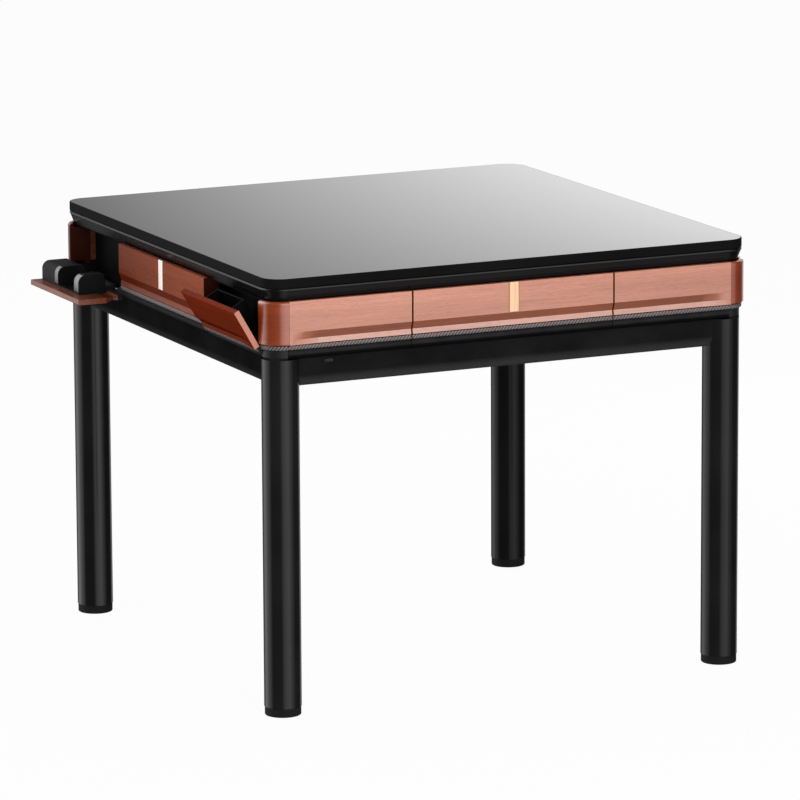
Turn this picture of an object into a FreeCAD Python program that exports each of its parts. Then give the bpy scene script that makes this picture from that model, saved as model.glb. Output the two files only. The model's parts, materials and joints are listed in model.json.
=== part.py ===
import FreeCAD, Part
import math
import os

# Four-sided automatic mahjong table with a lift-off dining cover.
# Millimetres, +Z up. The origin is on the floor under the middle of the table.
# One side is built facing -Y and turned about Z for the other three.
# On a side, u runs along it (to the right of whoever looks at it from outside),
# d is the distance outward from the table's middle and z the height.

V = FreeCAD.Vector

# ---- whole table ----
COVER_HALF = 475.0          # half the side of the dining cover
COVER_TOP = 790.0
COVER_THICKNESS = 17.0
COVER_CORNER_RADIUS = 38.0
COVER_EDGE_BAND = 2.0
COVER_EDGE_ROUND = 1.4
PART_GAP = 0.3              # play between pieces that are screwed together
JOINT_GAP = 0.7             # half the joint between a middle panel and a door or flap
MOVE_GAP = 0.4              # joint between a door or flap and the corner
PAST = 1.0                  # how far a cutting shape reaches past what it cuts
SAME_PLACE = 0.001          # points closer than this count as one

# ---- locating blocks under the cover ----
LOCATOR_SIDE = 32.0
LOCATOR_PLAY = 1.0
LOCATOR_AIR = 1.5

# ---- rim round the playing surface ----
RIM_WIDTH = 60.0
RIM_HEIGHT = 23.5
RIM_FOOT_INSET = 8.0
RIM_FOOT_ROUND = 1.0
RIM_BEAD_HEIGHT = 5.0
RIM_BEAD_STEP = 0.9
RIM_INNER_ROUND = 4.0
RIM_EDGE_ROUND = 3.8

# ---- playing surface ----
BOARD_THICKNESS = 11.5
CLOTH_THICKNESS = 2.0
SLOT_INSET = 92.0           # from the rim's inner face to the middle of a tile slot
SLOT_WIDTH = 46.0
SLOT_END_LAND = 30.0        # board left between the ends of two neighbouring slots
DIAL_HOLE_PLAY = 4.0

# ---- fascia: doors, flaps and fixed middle panels share one section ----
FASCIA_PROUD = 3.5          # how far the fascia stands out past the cover
FASCIA_RISE = 0.5           # how far it stands up in front of the rim
FASCIA_THICKNESS = 10.0
FASCIA_HEIGHT = 77.7
FASCIA_TOP_ROUND = 1.5
DOOR_LENGTH = 238.0         # of a door or flap, joint to corner
LIP_HEIGHT = 9.2
LIP_DEPTH = 2.8
SCOOP_HEIGHT = 13.7
SCOOP_DEPTH = 4.8
SCOOP_FADE = 50.0
SCOOP_END_LAND = 7.0
SCOOP_FAINT = 0.03          # share of the depth left where the scoop fades out
BAND_HEIGHT = 9.9
BAND_INSET = 4.5
BAND_ROUND = 1.0
RAIL_BEVEL = 2.5
WEB_THICKNESS = 6.0
CHEEK_DEPTH = 20.0
CHEEK_THICKNESS = 10.0
CHEEK_AIR = 0.5
STRIP_HALF_WIDTH = 10.5
STRIP_ABOVE_SCOOP = 0.8
STRIP_THICKNESS = 1.8
STRIP_PROUD = 0.3
STRIP_SEAT_PLAY = 0.05

# ---- hinges ----
PIVOT_INSET = 15.0
PIVOT_DROP = 17.3
BARREL_RADIUS = 9.0
BARREL_AIR = 2.0
PIN_RADIUS = 2.5
PIN_PLAY = 0.06
PIN_SEAT_PLAY = 0.02
PIN_HOLD = 13.0             # length of pin held at each end
PIN_WINDOW_FROM_JOINT = 26.0
PIN_WINDOW_LENGTH = 32.0    # stretch of the flap's barrel that is open round its pin
DOOR_OPEN_DEGREES = 30.0
FLAP_OPEN_DEGREES = 90.0

# ---- chip tray behind each door ----
TRAY_WIDTH = 116.0
TRAY_DEPTH = 35.0
TRAY_RAISE = 0.2
TRAY_HEIGHT = 64.5
TRAY_WALL = 2.5
TRAY_ROUND = 6.0

# ---- cup cradle on each flap; p is measured along the flap from its pivot ----
CRADLE_START = 19.5
CRADLE_END = 75.0
CRADLE_FROM_JOINT = 48.0
CRADLE_LENGTH = 183.0
CRADLE_HEIGHT = 36.0
CRADLE_LEAN = 4.0
CRADLE_BASE = 2.5
CRADLE_END_ROUND = 15.0
CRADLE_HEEL_ROUND = 3.5
CRADLE_EDGE_ROUND = 2.0
CRADLE_WALL = 3.0
CRADLE_AIR = 2.5            # between the shut cradle and the liner
CUP_FROM_JOINT = 111.0
CUP_REACH = 39.5
CUP_RADIUS = 39.0
CUP_SEAT_RADIUS = 34.5
CUP_SEAT_DEPTH = 1.2

# ---- corner posts and their bases ----
POST_SHELL = 8.0
POST_CORE_RADIUS = 12.0
POST_TOP_ROUND = 5.5
POST_BOTTOM_ROUND = 1.5
POST_BACK_ROUND = 1.5
POST_WEB = 3.0
POST_WEB_INSET = 5.0
BASE_ROUND = 1.0

# ---- legs ----
LEG_OFFSET = 0.5            # of the leg's axis outward from the corner's
LEG_RADIUS = 33.5
LEG_WALL = 1.5
LEG_CAP = 4.0
FOOT_RADIUS = 32.5
FOOT_HEIGHT = 16.0
FOOT_PLUG = 22.0
FOOT_WALL = 3.0
FOOT_ROUND = 2.0
LEG_CLEARANCE = 0.4
BOLT_RADIUS = 5.0
BOLT_LENGTH = 24.0
BOLT_HEAD_HEIGHT = 6.4
BOLT_HEAD_FLATS = 17.0
BOLT_HEAD_ROOM = 17.0
NUT_HEIGHT = 8.0
BOLT_HOLE_PLAY = 0.3
THREAD_PLAY = 0.05

# ---- steel chassis ----
TUBE_INSET = 13.0           # behind the apron's face
TUBE_WIDTH = 30.0
TUBE_HEIGHT = 40.0
TUBE_WALL = 2.0
TUBE_ROUND = 3.0
TUBE_INNER_ROUND = 1.0
TUBE_END_GAP = 2.0
PLATE_INWARD = 57.0         # bracket plate's reach from the corner's axis
PLATE_OUTWARD = 16.0
PLATE_THICKNESS = 4.0
PLATE_ROUND = 6.0
UPRIGHT_SIDE = 30.0
UPRIGHT_INSET = 12.0
TOP_RAIL_HEIGHT = 10.0
TOP_FLANGE_INSET = 2.5
TOP_FLANGE_THICKNESS = 2.5

# ---- compartment liner ----
LINER_WALL = 2.5
LINER_FLOOR = 2.0
LINER_FRONT_AIR = 1.0
LINER_END_AIR = 10.0

# ---- apron and bottom plate ----
APRON_INSET = 20.5
APRON_HEIGHT = 53.0
APRON_WALL = 3.0
APRON_BEND = 23.0
APRON_TOP_ROUND = 0.8
BOTTOM_THICKNESS = 3.0
VENT_LENGTH = 90.0
VENT_WIDTH = 6.0
VENT_END_ROUND = 2.9
VENT_PITCH = 18.0
VENT_COUNT = 7
VENT_INSET = (208.0, 268.0)

# ---- rocker switch in the front apron ----
SWITCH_FROM_CORNER = 84.0
SWITCH_DROP = 8.0
SWITCH_LENGTH = 19.0
SWITCH_WIDTH = 7.0
SWITCH_DEPTH = 5.0
SWITCH_PROUD = 1.0
SWITCH_DIP = 0.6
SWITCH_EDGE_ROUND = 0.8
SWITCH_PLAY = 0.8
SWITCH_PIVOT_RADIUS = 0.8
SWITCH_PIVOT_PLAY = 0.05
SWITCH_PIVOT_REACH = 1.0

# ---- mains inlet in the bottom plate, facing down ----
INLET_INSET = (158.0, 88.0)
INLET_WIDTH = 27.0
INLET_TALL = 20.0
INLET_DEPTH = 26.0
INLET_FLANGE = 3.0
INLET_WALL = 1.8
INLET_SOCKET_DEPTH = 16.0
INLET_ROUND = 3.0
CONTACT_PITCH = 7.0
CONTACT_SIZE = (2.0, 4.0)
CONTACT_LENGTH = 11.0

# ---- tile lifts ----
LIFT_PLAY = 0.8
LIFT_THICKNESS = 6.0
LIFT_TRAVEL = 55.0
LIFT_ROD_RADIUS = 5.0
LIFT_ROD_PLAY = 0.06
LIFT_ROD_INSET = 90.0       # from the end of the slot
LIFT_ROD_ENGAGED = 35.0
GUIDE_SIDE = 24.0
GUIDE_ROUND = 4.0
LIFT_AIR = 6.0

# ---- control dial in the middle of the playing surface ----
DIAL_FLANGE_RADIUS = 118.0
DIAL_FLANGE_THICKNESS = 4.0
DIAL_BODY_RADIUS = 108.0
DIAL_DEPTH = 22.0
DIAL_DECK = 8.0
DIAL_WALL = 4.0
DICE_WELL_RADIUS = 41.0
DICE_WELL_DEPTH = 20.0
DIAL_EDGE_ROUND = 2.0
DOME_RADIUS = 46.0
DOME_RISE = 5.0
DOME_WALL = 1.5
DIE_SIDE = 12.0
DIE_ROUND = 1.5
DIE_PLACES = ((-11.0, 6.0, 20.0), (12.0, -9.0, 55.0))
BUTTON_AT = 76.0
BUTTON_DIRECTION = 45.0
BUTTON_RADIUS = 7.7
BUTTON_PLAY = 0.3
BUTTON_FLANGE = 2.4
BUTTON_RISE = 1.5
BUTTON_EDGE_ROUND = 1.0

# ---- shuffling drum and its drive ----
DRUM_SIDE_AIR = 16.0        # between the drum and the tile slots
DRUM_WALL = 4.0
DRUM_AIR = 49.5             # over the drum, to the underside of the board
DRUM_HEIGHT = 38.0
DRUM_FLOOR_THICKNESS = 3.0
DRUM_COVE = 9.0
DRUM_HUB_RADIUS = 25.0
DRUM_HUB_BELOW = 12.0
DRUM_HUB_ABOVE = 10.0
DRUM_PULLEY_RADIUS = 150.0
DRUM_PULLEY_WALL = 10.0
SPINDLE_RADIUS = 12.0
SPINDLE_PLAY = 0.06
SPINDLE_SHOULDER = 20.0
SPINDLE_FLANGE_RADIUS = 55.0
SPINDLE_FLANGE = 6.0
SPINDLE_FLANGE_ROUND = 1.5
SPINDLE_TIP_ROUND = 1.0
COLLAR_THICKNESS = 3.7
MOTOR_CLEARANCE = 80.0      # from the drum's belt ring to the motor's axis
MOTOR_DIRECTION = 45.0
MOTOR_RADIUS = 36.0
MOTOR_HEIGHT = 36.0
MOTOR_ROUND = 3.0
MOTOR_FOOT = 90.0
MOTOR_FOOT_THICKNESS = 6.0
MOTOR_BOSS_RADIUS = 12.0
MOTOR_SHAFT_RADIUS = 5.0
PULLEY_RADIUS = 20.0
PULLEY_HEIGHT = 16.0
PULLEY_FLANGE = 3.0
PULLEY_FLANGE_THICKNESS = 1.7
BELT_THICKNESS = 3.0
BELT_WIDTH = 12.0
BELT_GAP = 0.3
DRIVE_AIR = 4.0

# ---- control box ----
BOX_FROM_SLOTS = (203.0, 133.0)
BOX_SIZE = (150.0, 96.0)
BOX_HEIGHT = 32.0
BOX_ROUND = 6.0
BOX_LID = 3.0
BOX_LID_STEP = 2.0

# ---- heights that follow, from the cover down ----
COVER_BOTTOM = COVER_TOP - COVER_THICKNESS
RIM_BOTTOM = COVER_BOTTOM - RIM_HEIGHT
BOARD_TOP = RIM_BOTTOM + BOARD_THICKNESS
CLOTH_TOP = BOARD_TOP + CLOTH_THICKNESS
TOP_FLANGE_BOTTOM = RIM_BOTTOM - TOP_FLANGE_THICKNESS
TOP_RAIL_BOTTOM = TOP_FLANGE_BOTTOM - TOP_RAIL_HEIGHT
FASCIA_TOP = RIM_BOTTOM + FASCIA_RISE
FASCIA_BOTTOM = FASCIA_TOP - FASCIA_HEIGHT
SCOOP_BOTTOM = FASCIA_BOTTOM + LIP_HEIGHT
SCOOP_TOP = SCOOP_BOTTOM + SCOOP_HEIGHT
STRIP_BOTTOM = SCOOP_TOP + STRIP_ABOVE_SCOOP
BAND_BOTTOM = FASCIA_BOTTOM - BAND_HEIGHT
PIVOT_HEIGHT = FASCIA_BOTTOM - PIVOT_DROP
LEG_TOP = PIVOT_HEIGHT - BARREL_RADIUS - BARREL_AIR
PLATE_TOP = LEG_TOP + PLATE_THICKNESS
TUBE_BOTTOM = LEG_TOP - TUBE_HEIGHT
APRON_BOTTOM = LEG_TOP - APRON_HEIGHT
BOTTOM_TOP = APRON_BOTTOM + BOTTOM_THICKNESS
SWITCH_HEIGHT = LEG_TOP - SWITCH_DROP
TRAY_BOTTOM = FASCIA_BOTTOM + TRAY_RAISE
TRAY_TOP = TRAY_BOTTOM + TRAY_HEIGHT
DIAL_TOP = CLOTH_TOP + DIAL_FLANGE_THICKNESS
LIFT_BOTTOM = CLOTH_TOP - LIFT_THICKNESS
GUIDE_TOP = LIFT_BOTTOM - LIFT_TRAVEL - LIFT_AIR
ROD_BOTTOM = GUIDE_TOP - LIFT_ROD_ENGAGED
DRUM_TOP = RIM_BOTTOM - DRUM_AIR
DRUM_FLOOR = DRUM_TOP - DRUM_HEIGHT
DRUM_HUB_BOTTOM = DRUM_FLOOR - DRUM_HUB_BELOW
DRUM_HUB_TOP = DRUM_FLOOR + DRUM_HUB_ABOVE

# ---- places that follow, from the cover's edge inward ----
CORNER_AXIS = COVER_HALF - COVER_CORNER_RADIUS  # centre of every rounded corner, in x and in y
RIM_INNER = COVER_HALF - RIM_WIDTH
RIM_FOOT = COVER_HALF - RIM_FOOT_INSET
BOARD_HALF = RIM_INNER - PART_GAP
FASCIA_OUTER = COVER_HALF + FASCIA_PROUD
FASCIA_INNER = FASCIA_OUTER - FASCIA_THICKNESS
BAND_OUTER = FASCIA_OUTER - BAND_INSET
PIVOT_OUT = FASCIA_OUTER - PIVOT_INSET
WEB_OUTER = PIVOT_OUT + WEB_THICKNESS
TOP_FLANGE_OUTER = FASCIA_INNER - TOP_FLANGE_INSET
LINER_FRONT = PIVOT_OUT - BARREL_RADIUS - LINER_FRONT_AIR
LINER_BACK = FASCIA_INNER - CRADLE_HEIGHT - CRADLE_AIR
APRON_OUTER = FASCIA_OUTER - APRON_INSET
TUBE_OUTER = APRON_OUTER - TUBE_INSET
LEG_AXIS = CORNER_AXIS + LEG_OFFSET
BASE_RADIUS = LEG_OFFSET + LEG_RADIUS
TUBE_HALF_LENGTH = LEG_AXIS - LEG_RADIUS - TUBE_END_GAP
PLATE_INNER = CORNER_AXIS - PLATE_INWARD
PLATE_OUTER = CORNER_AXIS + PLATE_OUTWARD
UPRIGHT_OUTER = CORNER_AXIS - UPRIGHT_INSET
UPRIGHT_INNER = UPRIGHT_OUTER - UPRIGHT_SIDE
LINER_END = CORNER_AXIS - LINER_END_AIR
SLOT_MIDDLE = RIM_INNER - SLOT_INSET
SLOT_HALF_LENGTH = SLOT_MIDDLE - SLOT_WIDTH / 2.0 - SLOT_END_LAND
LIFT_ROD_AT = SLOT_HALF_LENGTH - LIFT_ROD_INSET
DRUM_RADIUS = SLOT_MIDDLE - SLOT_WIDTH / 2.0 - DRUM_SIDE_AIR
MOTOR_DISTANCE = DRUM_PULLEY_RADIUS + MOTOR_CLEARANCE
BOX_MIDDLE = (BOX_FROM_SLOTS[0] - SLOT_MIDDLE, BOX_FROM_SLOTS[1] - SLOT_MIDDLE)
VENT_MIDDLE = (VENT_INSET[0] - APRON_OUTER, APRON_OUTER - VENT_INSET[1])
INLET_MIDDLE = (APRON_OUTER - INLET_INSET[0], APRON_OUTER - INLET_INSET[1])

# ---- places that follow, along a side ----
PANEL_JOINT = CORNER_AXIS - DOOR_LENGTH
PANEL_END = CORNER_AXIS - MOVE_GAP
SCOOP_ENDS_AT = CORNER_AXIS - SCOOP_END_LAND
SCOOP_FULL_TO = SCOOP_ENDS_AT - SCOOP_FADE
TRAY_MIDDLE = (PANEL_JOINT + CORNER_AXIS) / 2.0
CUP_MIDDLE = PANEL_JOINT + CUP_FROM_JOINT
CRADLE_NEAR = PANEL_JOINT + CRADLE_FROM_JOINT
CRADLE_FAR = CRADLE_NEAR + CRADLE_LENGTH
PIN_WINDOW_START = PANEL_JOINT + PIN_WINDOW_FROM_JOINT
SWITCH_MIDDLE = SWITCH_FROM_CORNER - CORNER_AXIS

SIDES = {"front": 0.0, "right": 90.0, "back": 180.0, "left": 270.0}
CORNERS = {"front_right": 0.0, "back_right": 90.0, "back_left": 180.0, "front_left": 270.0}
OPEN_SIDE = "left"          # this side's door and flap stand open


def unit(vector):
    return vector * (1.0 / vector.Length)


def rounded_wire(corners, place):
    """Closed wire through (a, b) or (a, b, radius) corners; place makes them 3-D points."""
    spots = [V(c[0], c[1], 0) for c in corners]
    radii = [c[2] if len(c) > 2 else 0.0 for c in corners]
    stretches = []
    for i, spot in enumerate(spots):
        if radii[i] <= 0.0:
            stretches.append((spot, None, spot))
            continue
        back = unit(spots[i - 1] - spot)
        ahead = unit(spots[(i + 1) % len(spots)] - spot)
        half = back.getAngle(ahead) / 2.0
        reach = radii[i] / math.tan(half)
        crown = radii[i] / math.sin(half) - radii[i]
        middle = spot + unit(back + ahead) * crown
        stretches.append((spot + back * reach, middle, spot + ahead * reach))
    edges = []
    for i, (start, middle, end) in enumerate(stretches):
        if middle is not None:
            edges.append(Part.Arc(place(start), place(middle), place(end)).toShape())
        following = stretches[(i + 1) % len(stretches)][0]
        if end.distanceToPoint(following) > SAME_PLACE:
            edges.append(Part.makeLine(place(end), place(following)))
    return Part.Wire(edges)


def side_prism(corners, u):
    """Outline in (d, z) drawn along the side from u[0] to u[1]."""
    wire = rounded_wire(corners, lambda p: V(u[0], -p.x, p.y))
    return Part.Face(wire).extrude(V(u[1] - u[0], 0, 0))


def plan_prism(corners, z):
    """Outline in (x, y) raised from z[0] to z[1]."""
    wire = rounded_wire(corners, lambda p: V(p.x, p.y, z[0]))
    return Part.Face(wire).extrude(V(0, 0, z[1] - z[0]))


def face_prism(corners, d):
    """Outline in (u, z) drawn outward from d[0] to d[1]."""
    wire = rounded_wire(corners, lambda p: V(p.x, -d[0], p.y))
    return Part.Face(wire).extrude(V(0, d[0] - d[1], 0))


def turned(corners, middle=(0.0, 0.0), degrees=360.0):
    """Outline in (radius, z) turned about the upright axis through middle."""
    x, y = middle
    wire = rounded_wire(corners, lambda p: V(x, y - p.x, p.y))
    return Part.Face(wire).revolve(V(x, y, 0), V(0, 0, 1), degrees)


def side_block(u, d, z):
    return Part.makeBox(u[1] - u[0], d[1] - d[0], z[1] - z[0], V(u[0], -d[1], z[0]))


def upright_rod(radius, z, middle=(0.0, 0.0)):
    return Part.makeCylinder(radius, z[1] - z[0], V(middle[0], middle[1], z[0]))


def side_rod(radius, u, d, z):
    """Cylinder along u at distance d and height z."""
    return Part.makeCylinder(radius, u[1] - u[0], V(u[0], -d, z), V(1, 0, 0))


def square(half, radius=0.0):
    """Square outline about the middle, its corners rounded."""
    return [(half, half, radius), (-half, half, radius), (-half, -half, radius), (half, -half, radius)]


def rectangle(a, b, radius=0.0):
    return [(a[0], b[0], radius), (a[1], b[0], radius), (a[1], b[1], radius), (a[0], b[1], radius)]


def around(shape, degrees):
    copy = shape.copy()
    copy.rotate(V(0, 0, 0), V(0, 0, 1), degrees)
    return copy


def opened(shape, degrees):
    """Swing a front-side shape outward about the hinge line."""
    copy = shape.copy()
    copy.rotate(V(0, -PIVOT_OUT, PIVOT_HEIGHT), V(1, 0, 0), degrees)
    return copy


def fused(first, *others):
    return first.fuse(list(others)).removeSplitter()


def save(name, shapes):
    group = shapes if isinstance(shapes, list) else [shapes]
    solids = [solid for shape in group for solid in shape.Solids]
    whole = solids[0] if len(solids) == 1 else Part.makeCompound(solids)
    whole.exportStep("parts/" + name + ".step")


# ---- dining cover ----

def dining_cover():
    half = COVER_HALF - COVER_EDGE_BAND
    radius = COVER_CORNER_RADIUS - COVER_EDGE_BAND
    return plan_prism(square(half, radius), (COVER_BOTTOM, COVER_TOP))


def cover_edge_band():
    """Rounded strip bent round the board: four straight runs and four corners."""
    inner = COVER_HALF - COVER_EDGE_BAND
    section = [(inner, COVER_BOTTOM), (COVER_HALF, COVER_BOTTOM, COVER_EDGE_ROUND),
               (COVER_HALF, COVER_TOP, COVER_EDGE_ROUND), (inner, COVER_TOP)]
    straight = side_prism(section, (-CORNER_AXIS, CORNER_AXIS))
    bend_section = [(c[0] - CORNER_AXIS,) + tuple(c[1:]) for c in section]
    bend = turned(bend_section, (CORNER_AXIS, -CORNER_AXIS), 90.0)
    runs = [around(piece, angle) for angle in SIDES.values() for piece in (straight, bend)]
    return fused(runs[0], *runs[1:])


def cover_locators():
    """Rubber blocks under the cover that stop it sliding off the rim."""
    outer = RIM_INNER - LOCATOR_PLAY
    span = (outer - LOCATOR_SIDE, outer)
    heights = (CLOTH_TOP + LOCATOR_AIR, COVER_BOTTOM)
    block = plan_prism(rectangle(span, (-span[1], -span[0]), RIM_INNER_ROUND), heights)
    return [around(block, angle) for angle in CORNERS.values()]


# ---- rim ----

def rim_section(inner):
    step = COVER_HALF - RIM_BEAD_STEP
    bead_bottom = COVER_BOTTOM - RIM_BEAD_HEIGHT
    return [(inner, RIM_BOTTOM), (RIM_FOOT, RIM_BOTTOM, RIM_FOOT_ROUND), (step, bead_bottom),
            (COVER_HALF, bead_bottom + RIM_BEAD_STEP), (COVER_HALF, COVER_BOTTOM, RIM_EDGE_ROUND)]


def mitre_wedge(half_width, z):
    """The quarter of the table in front of both diagonals, cut back by half_width."""
    reach = 2.0 * COVER_HALF
    outline = [(0.0, -half_width), (reach, -reach - half_width), (-reach, -reach - half_width)]
    return plan_prism(outline, z)


def rim_rail():
    section = rim_section(RIM_INNER) + [(RIM_INNER, COVER_BOTTOM, RIM_INNER_ROUND)]
    end = CORNER_AXIS - PART_GAP
    rail = side_prism(section, (-end, end))
    return rail.common(mitre_wedge(PART_GAP / 2.0, (RIM_BOTTOM - PAST, COVER_TOP)))


def rim_corner():
    section = [(c[0] - CORNER_AXIS,) + tuple(c[1:]) for c in rim_section(CORNER_AXIS)]
    section.append((0.0, COVER_BOTTOM))
    return turned(section, (CORNER_AXIS, -CORNER_AXIS), 90.0)


# ---- playing surface ----

def surface_sheet(z):
    """Square sheet with four tile slots and the dial hole."""
    sheet = plan_prism(square(BOARD_HALF), z)
    across = (SLOT_MIDDLE - SLOT_WIDTH / 2.0, SLOT_MIDDLE + SLOT_WIDTH / 2.0)
    slot = side_block((-SLOT_HALF_LENGTH, SLOT_HALF_LENGTH), across, z)
    openings = [around(slot, angle) for angle in SIDES.values()]
    openings.append(upright_rod(DIAL_BODY_RADIUS + DIAL_HOLE_PLAY, z))
    return sheet.cut(openings)


# ---- fascia ----

def scoop_cutter():
    """Long hollow under the fascia's face, full in the middle, fading out at both ends."""
    far = FASCIA_OUTER + 2.0 * SCOOP_DEPTH
    low = FASCIA_BOTTOM - PAST

    def section(u, share):
        corners = [(FASCIA_OUTER, SCOOP_TOP), (FASCIA_OUTER - SCOOP_DEPTH * share, SCOOP_BOTTOM),
                   (FASCIA_OUTER - LIP_DEPTH * share, low), (far, low), (far, SCOOP_TOP)]
        return rounded_wire(corners, lambda p: V(u, -p.x, p.y))

    full = Part.Face(section(-SCOOP_FULL_TO, 1.0)).extrude(V(2.0 * SCOOP_FULL_TO, 0, 0))
    pieces = [full]
    for way in (-1.0, 1.0):
        ends = [section(way * SCOOP_FULL_TO, 1.0), section(way * SCOOP_ENDS_AT, SCOOP_FAINT)]
        pieces.append(Part.makeLoft(ends, True, True))
    return pieces


def fascia_bar(u):
    """Board, band rail and hinge barrel in one piece from u[0] to u[1], scoop cut in."""
    board = side_prism([(FASCIA_INNER, FASCIA_BOTTOM), (FASCIA_OUTER, FASCIA_BOTTOM),
                        (FASCIA_OUTER, FASCIA_TOP, FASCIA_TOP_ROUND),
                        (FASCIA_INNER, FASCIA_TOP, FASCIA_TOP_ROUND)], u)
    web_top = PIVOT_HEIGHT + BARREL_RADIUS
    rail = side_prism([(PIVOT_OUT, PIVOT_HEIGHT), (PIVOT_OUT, web_top),
                       (PIVOT_OUT + RAIL_BEVEL, FASCIA_BOTTOM), (BAND_OUTER, FASCIA_BOTTOM),
                       (BAND_OUTER, BAND_BOTTOM, BAND_ROUND),
                       (WEB_OUTER, BAND_BOTTOM), (WEB_OUTER, PIVOT_HEIGHT)], u)
    barrel = side_rod(BARREL_RADIUS, u, PIVOT_OUT, PIVOT_HEIGHT)
    scooped = board.cut(scoop_cutter())
    return fused(scooped, rail, barrel)


def middle_panel():
    end = PANEL_JOINT - JOINT_GAP
    panel = fascia_bar((-end, end))
    cheeks = []
    for way in (-1.0, 1.0):
        span = sorted((way * end, way * (end - CHEEK_THICKNESS)))
        cheeks.append(side_block(span, (FASCIA_INNER - CHEEK_DEPTH, FASCIA_INNER),
                                 (FASCIA_BOTTOM, TOP_FLANGE_BOTTOM - CHEEK_AIR)))
    foot = side_block((-end, end), (LINER_FRONT - CHEEK_THICKNESS, PIVOT_OUT),
                      (LEG_TOP + LINER_FLOOR, PIVOT_HEIGHT))
    panel = fused(panel, foot, *cheeks)
    seat = PIN_RADIUS + PIN_SEAT_PLAY
    for way in (-1.0, 1.0):
        span = sorted((way * (end + PAST), way * (end - PIN_HOLD)))
        panel = panel.cut(side_rod(seat, span, PIVOT_OUT, PIVOT_HEIGHT))
    groove = side_prism(strip_section(STRIP_THICKNESS + STRIP_SEAT_PLAY, PAST, STRIP_BOTTOM),
                        (-STRIP_HALF_WIDTH, STRIP_HALF_WIDTH))
    return panel.cut(groove)


def strip_section(depth, proud, bottom):
    """Section of a flat strip let into the face, flush with its rounded top edge."""
    inner, outer, top = FASCIA_OUTER - depth, FASCIA_OUTER + proud, FASCIA_TOP + proud
    return [(inner, bottom), (outer, bottom), (outer, top, FASCIA_TOP_ROUND + proud), (inner, top)]


def middle_strip():
    """Metal-look strip in the middle panel's groove."""
    half = STRIP_HALF_WIDTH - PART_GAP / 2.0
    return side_prism(strip_section(STRIP_THICKNESS, STRIP_PROUD, STRIP_BOTTOM + PART_GAP), (-half, half))


def hinged_panel(u):
    panel = fascia_bar(u)
    bore = side_rod(PIN_RADIUS + PIN_PLAY, (u[0] - PAST, u[1] + PAST), PIVOT_OUT, PIVOT_HEIGHT)
    return panel.cut(bore)


def chip_door():
    return hinged_panel((PANEL_JOINT + JOINT_GAP, PANEL_END))


def cup_flap():
    """Flap with a window in its barrel, where the steel pin shows."""
    flap = hinged_panel((-PANEL_END, -PANEL_JOINT - JOINT_GAP))
    window = side_block((-PIN_WINDOW_START - PIN_WINDOW_LENGTH, -PIN_WINDOW_START),
                        (PIVOT_OUT - BARREL_RADIUS - PAST, WEB_OUTER - BARREL_RADIUS / 3.0),
                        (PIVOT_HEIGHT - BARREL_RADIUS - PAST, PIVOT_HEIGHT + BARREL_RADIUS))
    return flap.cut(window)


def chip_tray():
    """Open-topped tray on the back of the door, with one divider."""
    u = (TRAY_MIDDLE - TRAY_WIDTH / 2.0, TRAY_MIDDLE + TRAY_WIDTH / 2.0)
    d = (FASCIA_INNER - TRAY_DEPTH, FASCIA_INNER)
    outer = side_prism([(d[0], TRAY_BOTTOM, TRAY_ROUND), (d[1], TRAY_BOTTOM), (d[1], TRAY_TOP),
                        (d[0], TRAY_TOP)], u)
    inner = side_prism([(d[0] + TRAY_WALL, TRAY_BOTTOM + TRAY_WALL, TRAY_ROUND - TRAY_WALL),
                        (d[1] - TRAY_WALL, TRAY_BOTTOM + TRAY_WALL),
                        (d[1] - TRAY_WALL, TRAY_TOP + PAST), (d[0] + TRAY_WALL, TRAY_TOP + PAST)],
                       (u[0] + TRAY_WALL, u[1] - TRAY_WALL))
    return outer.cut(inner)


def cradle_form(inset, front):
    """The whole cradle as one block seen along the side, shrunk by inset all round."""
    back = FASCIA_INNER - CRADLE_HEIGHT + inset
    low, high = PIVOT_HEIGHT + CRADLE_START + inset, PIVOT_HEIGHT + CRADLE_END - inset
    profile = [(front, low), (front, high), (back, high, CRADLE_END_ROUND - inset),
               (back, low + CRADLE_LEAN, CRADLE_HEEL_ROUND)]
    return side_prism(profile, (inset - CRADLE_FAR, -CRADLE_NEAR - inset))


def cup_well(radius, floor):
    """Room for a cup: round towards the hinge, open at the flap's edge."""
    middle = V(-CUP_MIDDLE, CRADLE_HEIGHT + PAST - FASCIA_INNER, PIVOT_HEIGHT + CUP_REACH)
    depth = CRADLE_HEIGHT + PAST - floor
    mouth = side_block((-CUP_MIDDLE - radius, radius - CUP_MIDDLE), (FASCIA_INNER - CRADLE_HEIGHT - PAST,
                       FASCIA_INNER - floor), (middle.z, PIVOT_HEIGHT + CRADLE_END + PAST))
    return fused(Part.makeCylinder(radius, depth, middle, V(0, -1, 0)), mouth)


def cup_cradle():
    """Two wings beside the cup's seat on a thin base, hollow towards the flap."""
    block = cradle_form(0.0, FASCIA_INNER)
    ends = [edge for edge in block.Edges if edge.BoundBox.XLength < SAME_PLACE
            and edge.BoundBox.YMax + FASCIA_INNER > SAME_PLACE]
    block = block.makeFillet(CRADLE_EDGE_ROUND, ends)
    middle = V(-CUP_MIDDLE, CRADLE_HEIGHT - FASCIA_INNER, PIVOT_HEIGHT + CUP_REACH)
    seat = Part.makeCylinder(CUP_SEAT_RADIUS, CRADLE_HEIGHT - CRADLE_BASE + CUP_SEAT_DEPTH, middle,
                             V(0, -1, 0))
    hollow = cradle_form(CRADLE_WALL, FASCIA_INNER + PAST).cut(cup_well(CUP_RADIUS + CRADLE_WALL, -PAST))
    return block.cut([cup_well(CUP_RADIUS, CRADLE_BASE), seat, hollow])


def hinge_pin():
    """Steel pin through a door's barrel, held in the middle panel and the corner base."""
    u = (PANEL_JOINT - JOINT_GAP - PIN_HOLD + PART_GAP, CORNER_AXIS + PIN_HOLD - PART_GAP)
    return side_rod(PIN_RADIUS, u, PIVOT_OUT, PIVOT_HEIGHT)


# ---- corner posts, bases, legs ----

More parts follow.
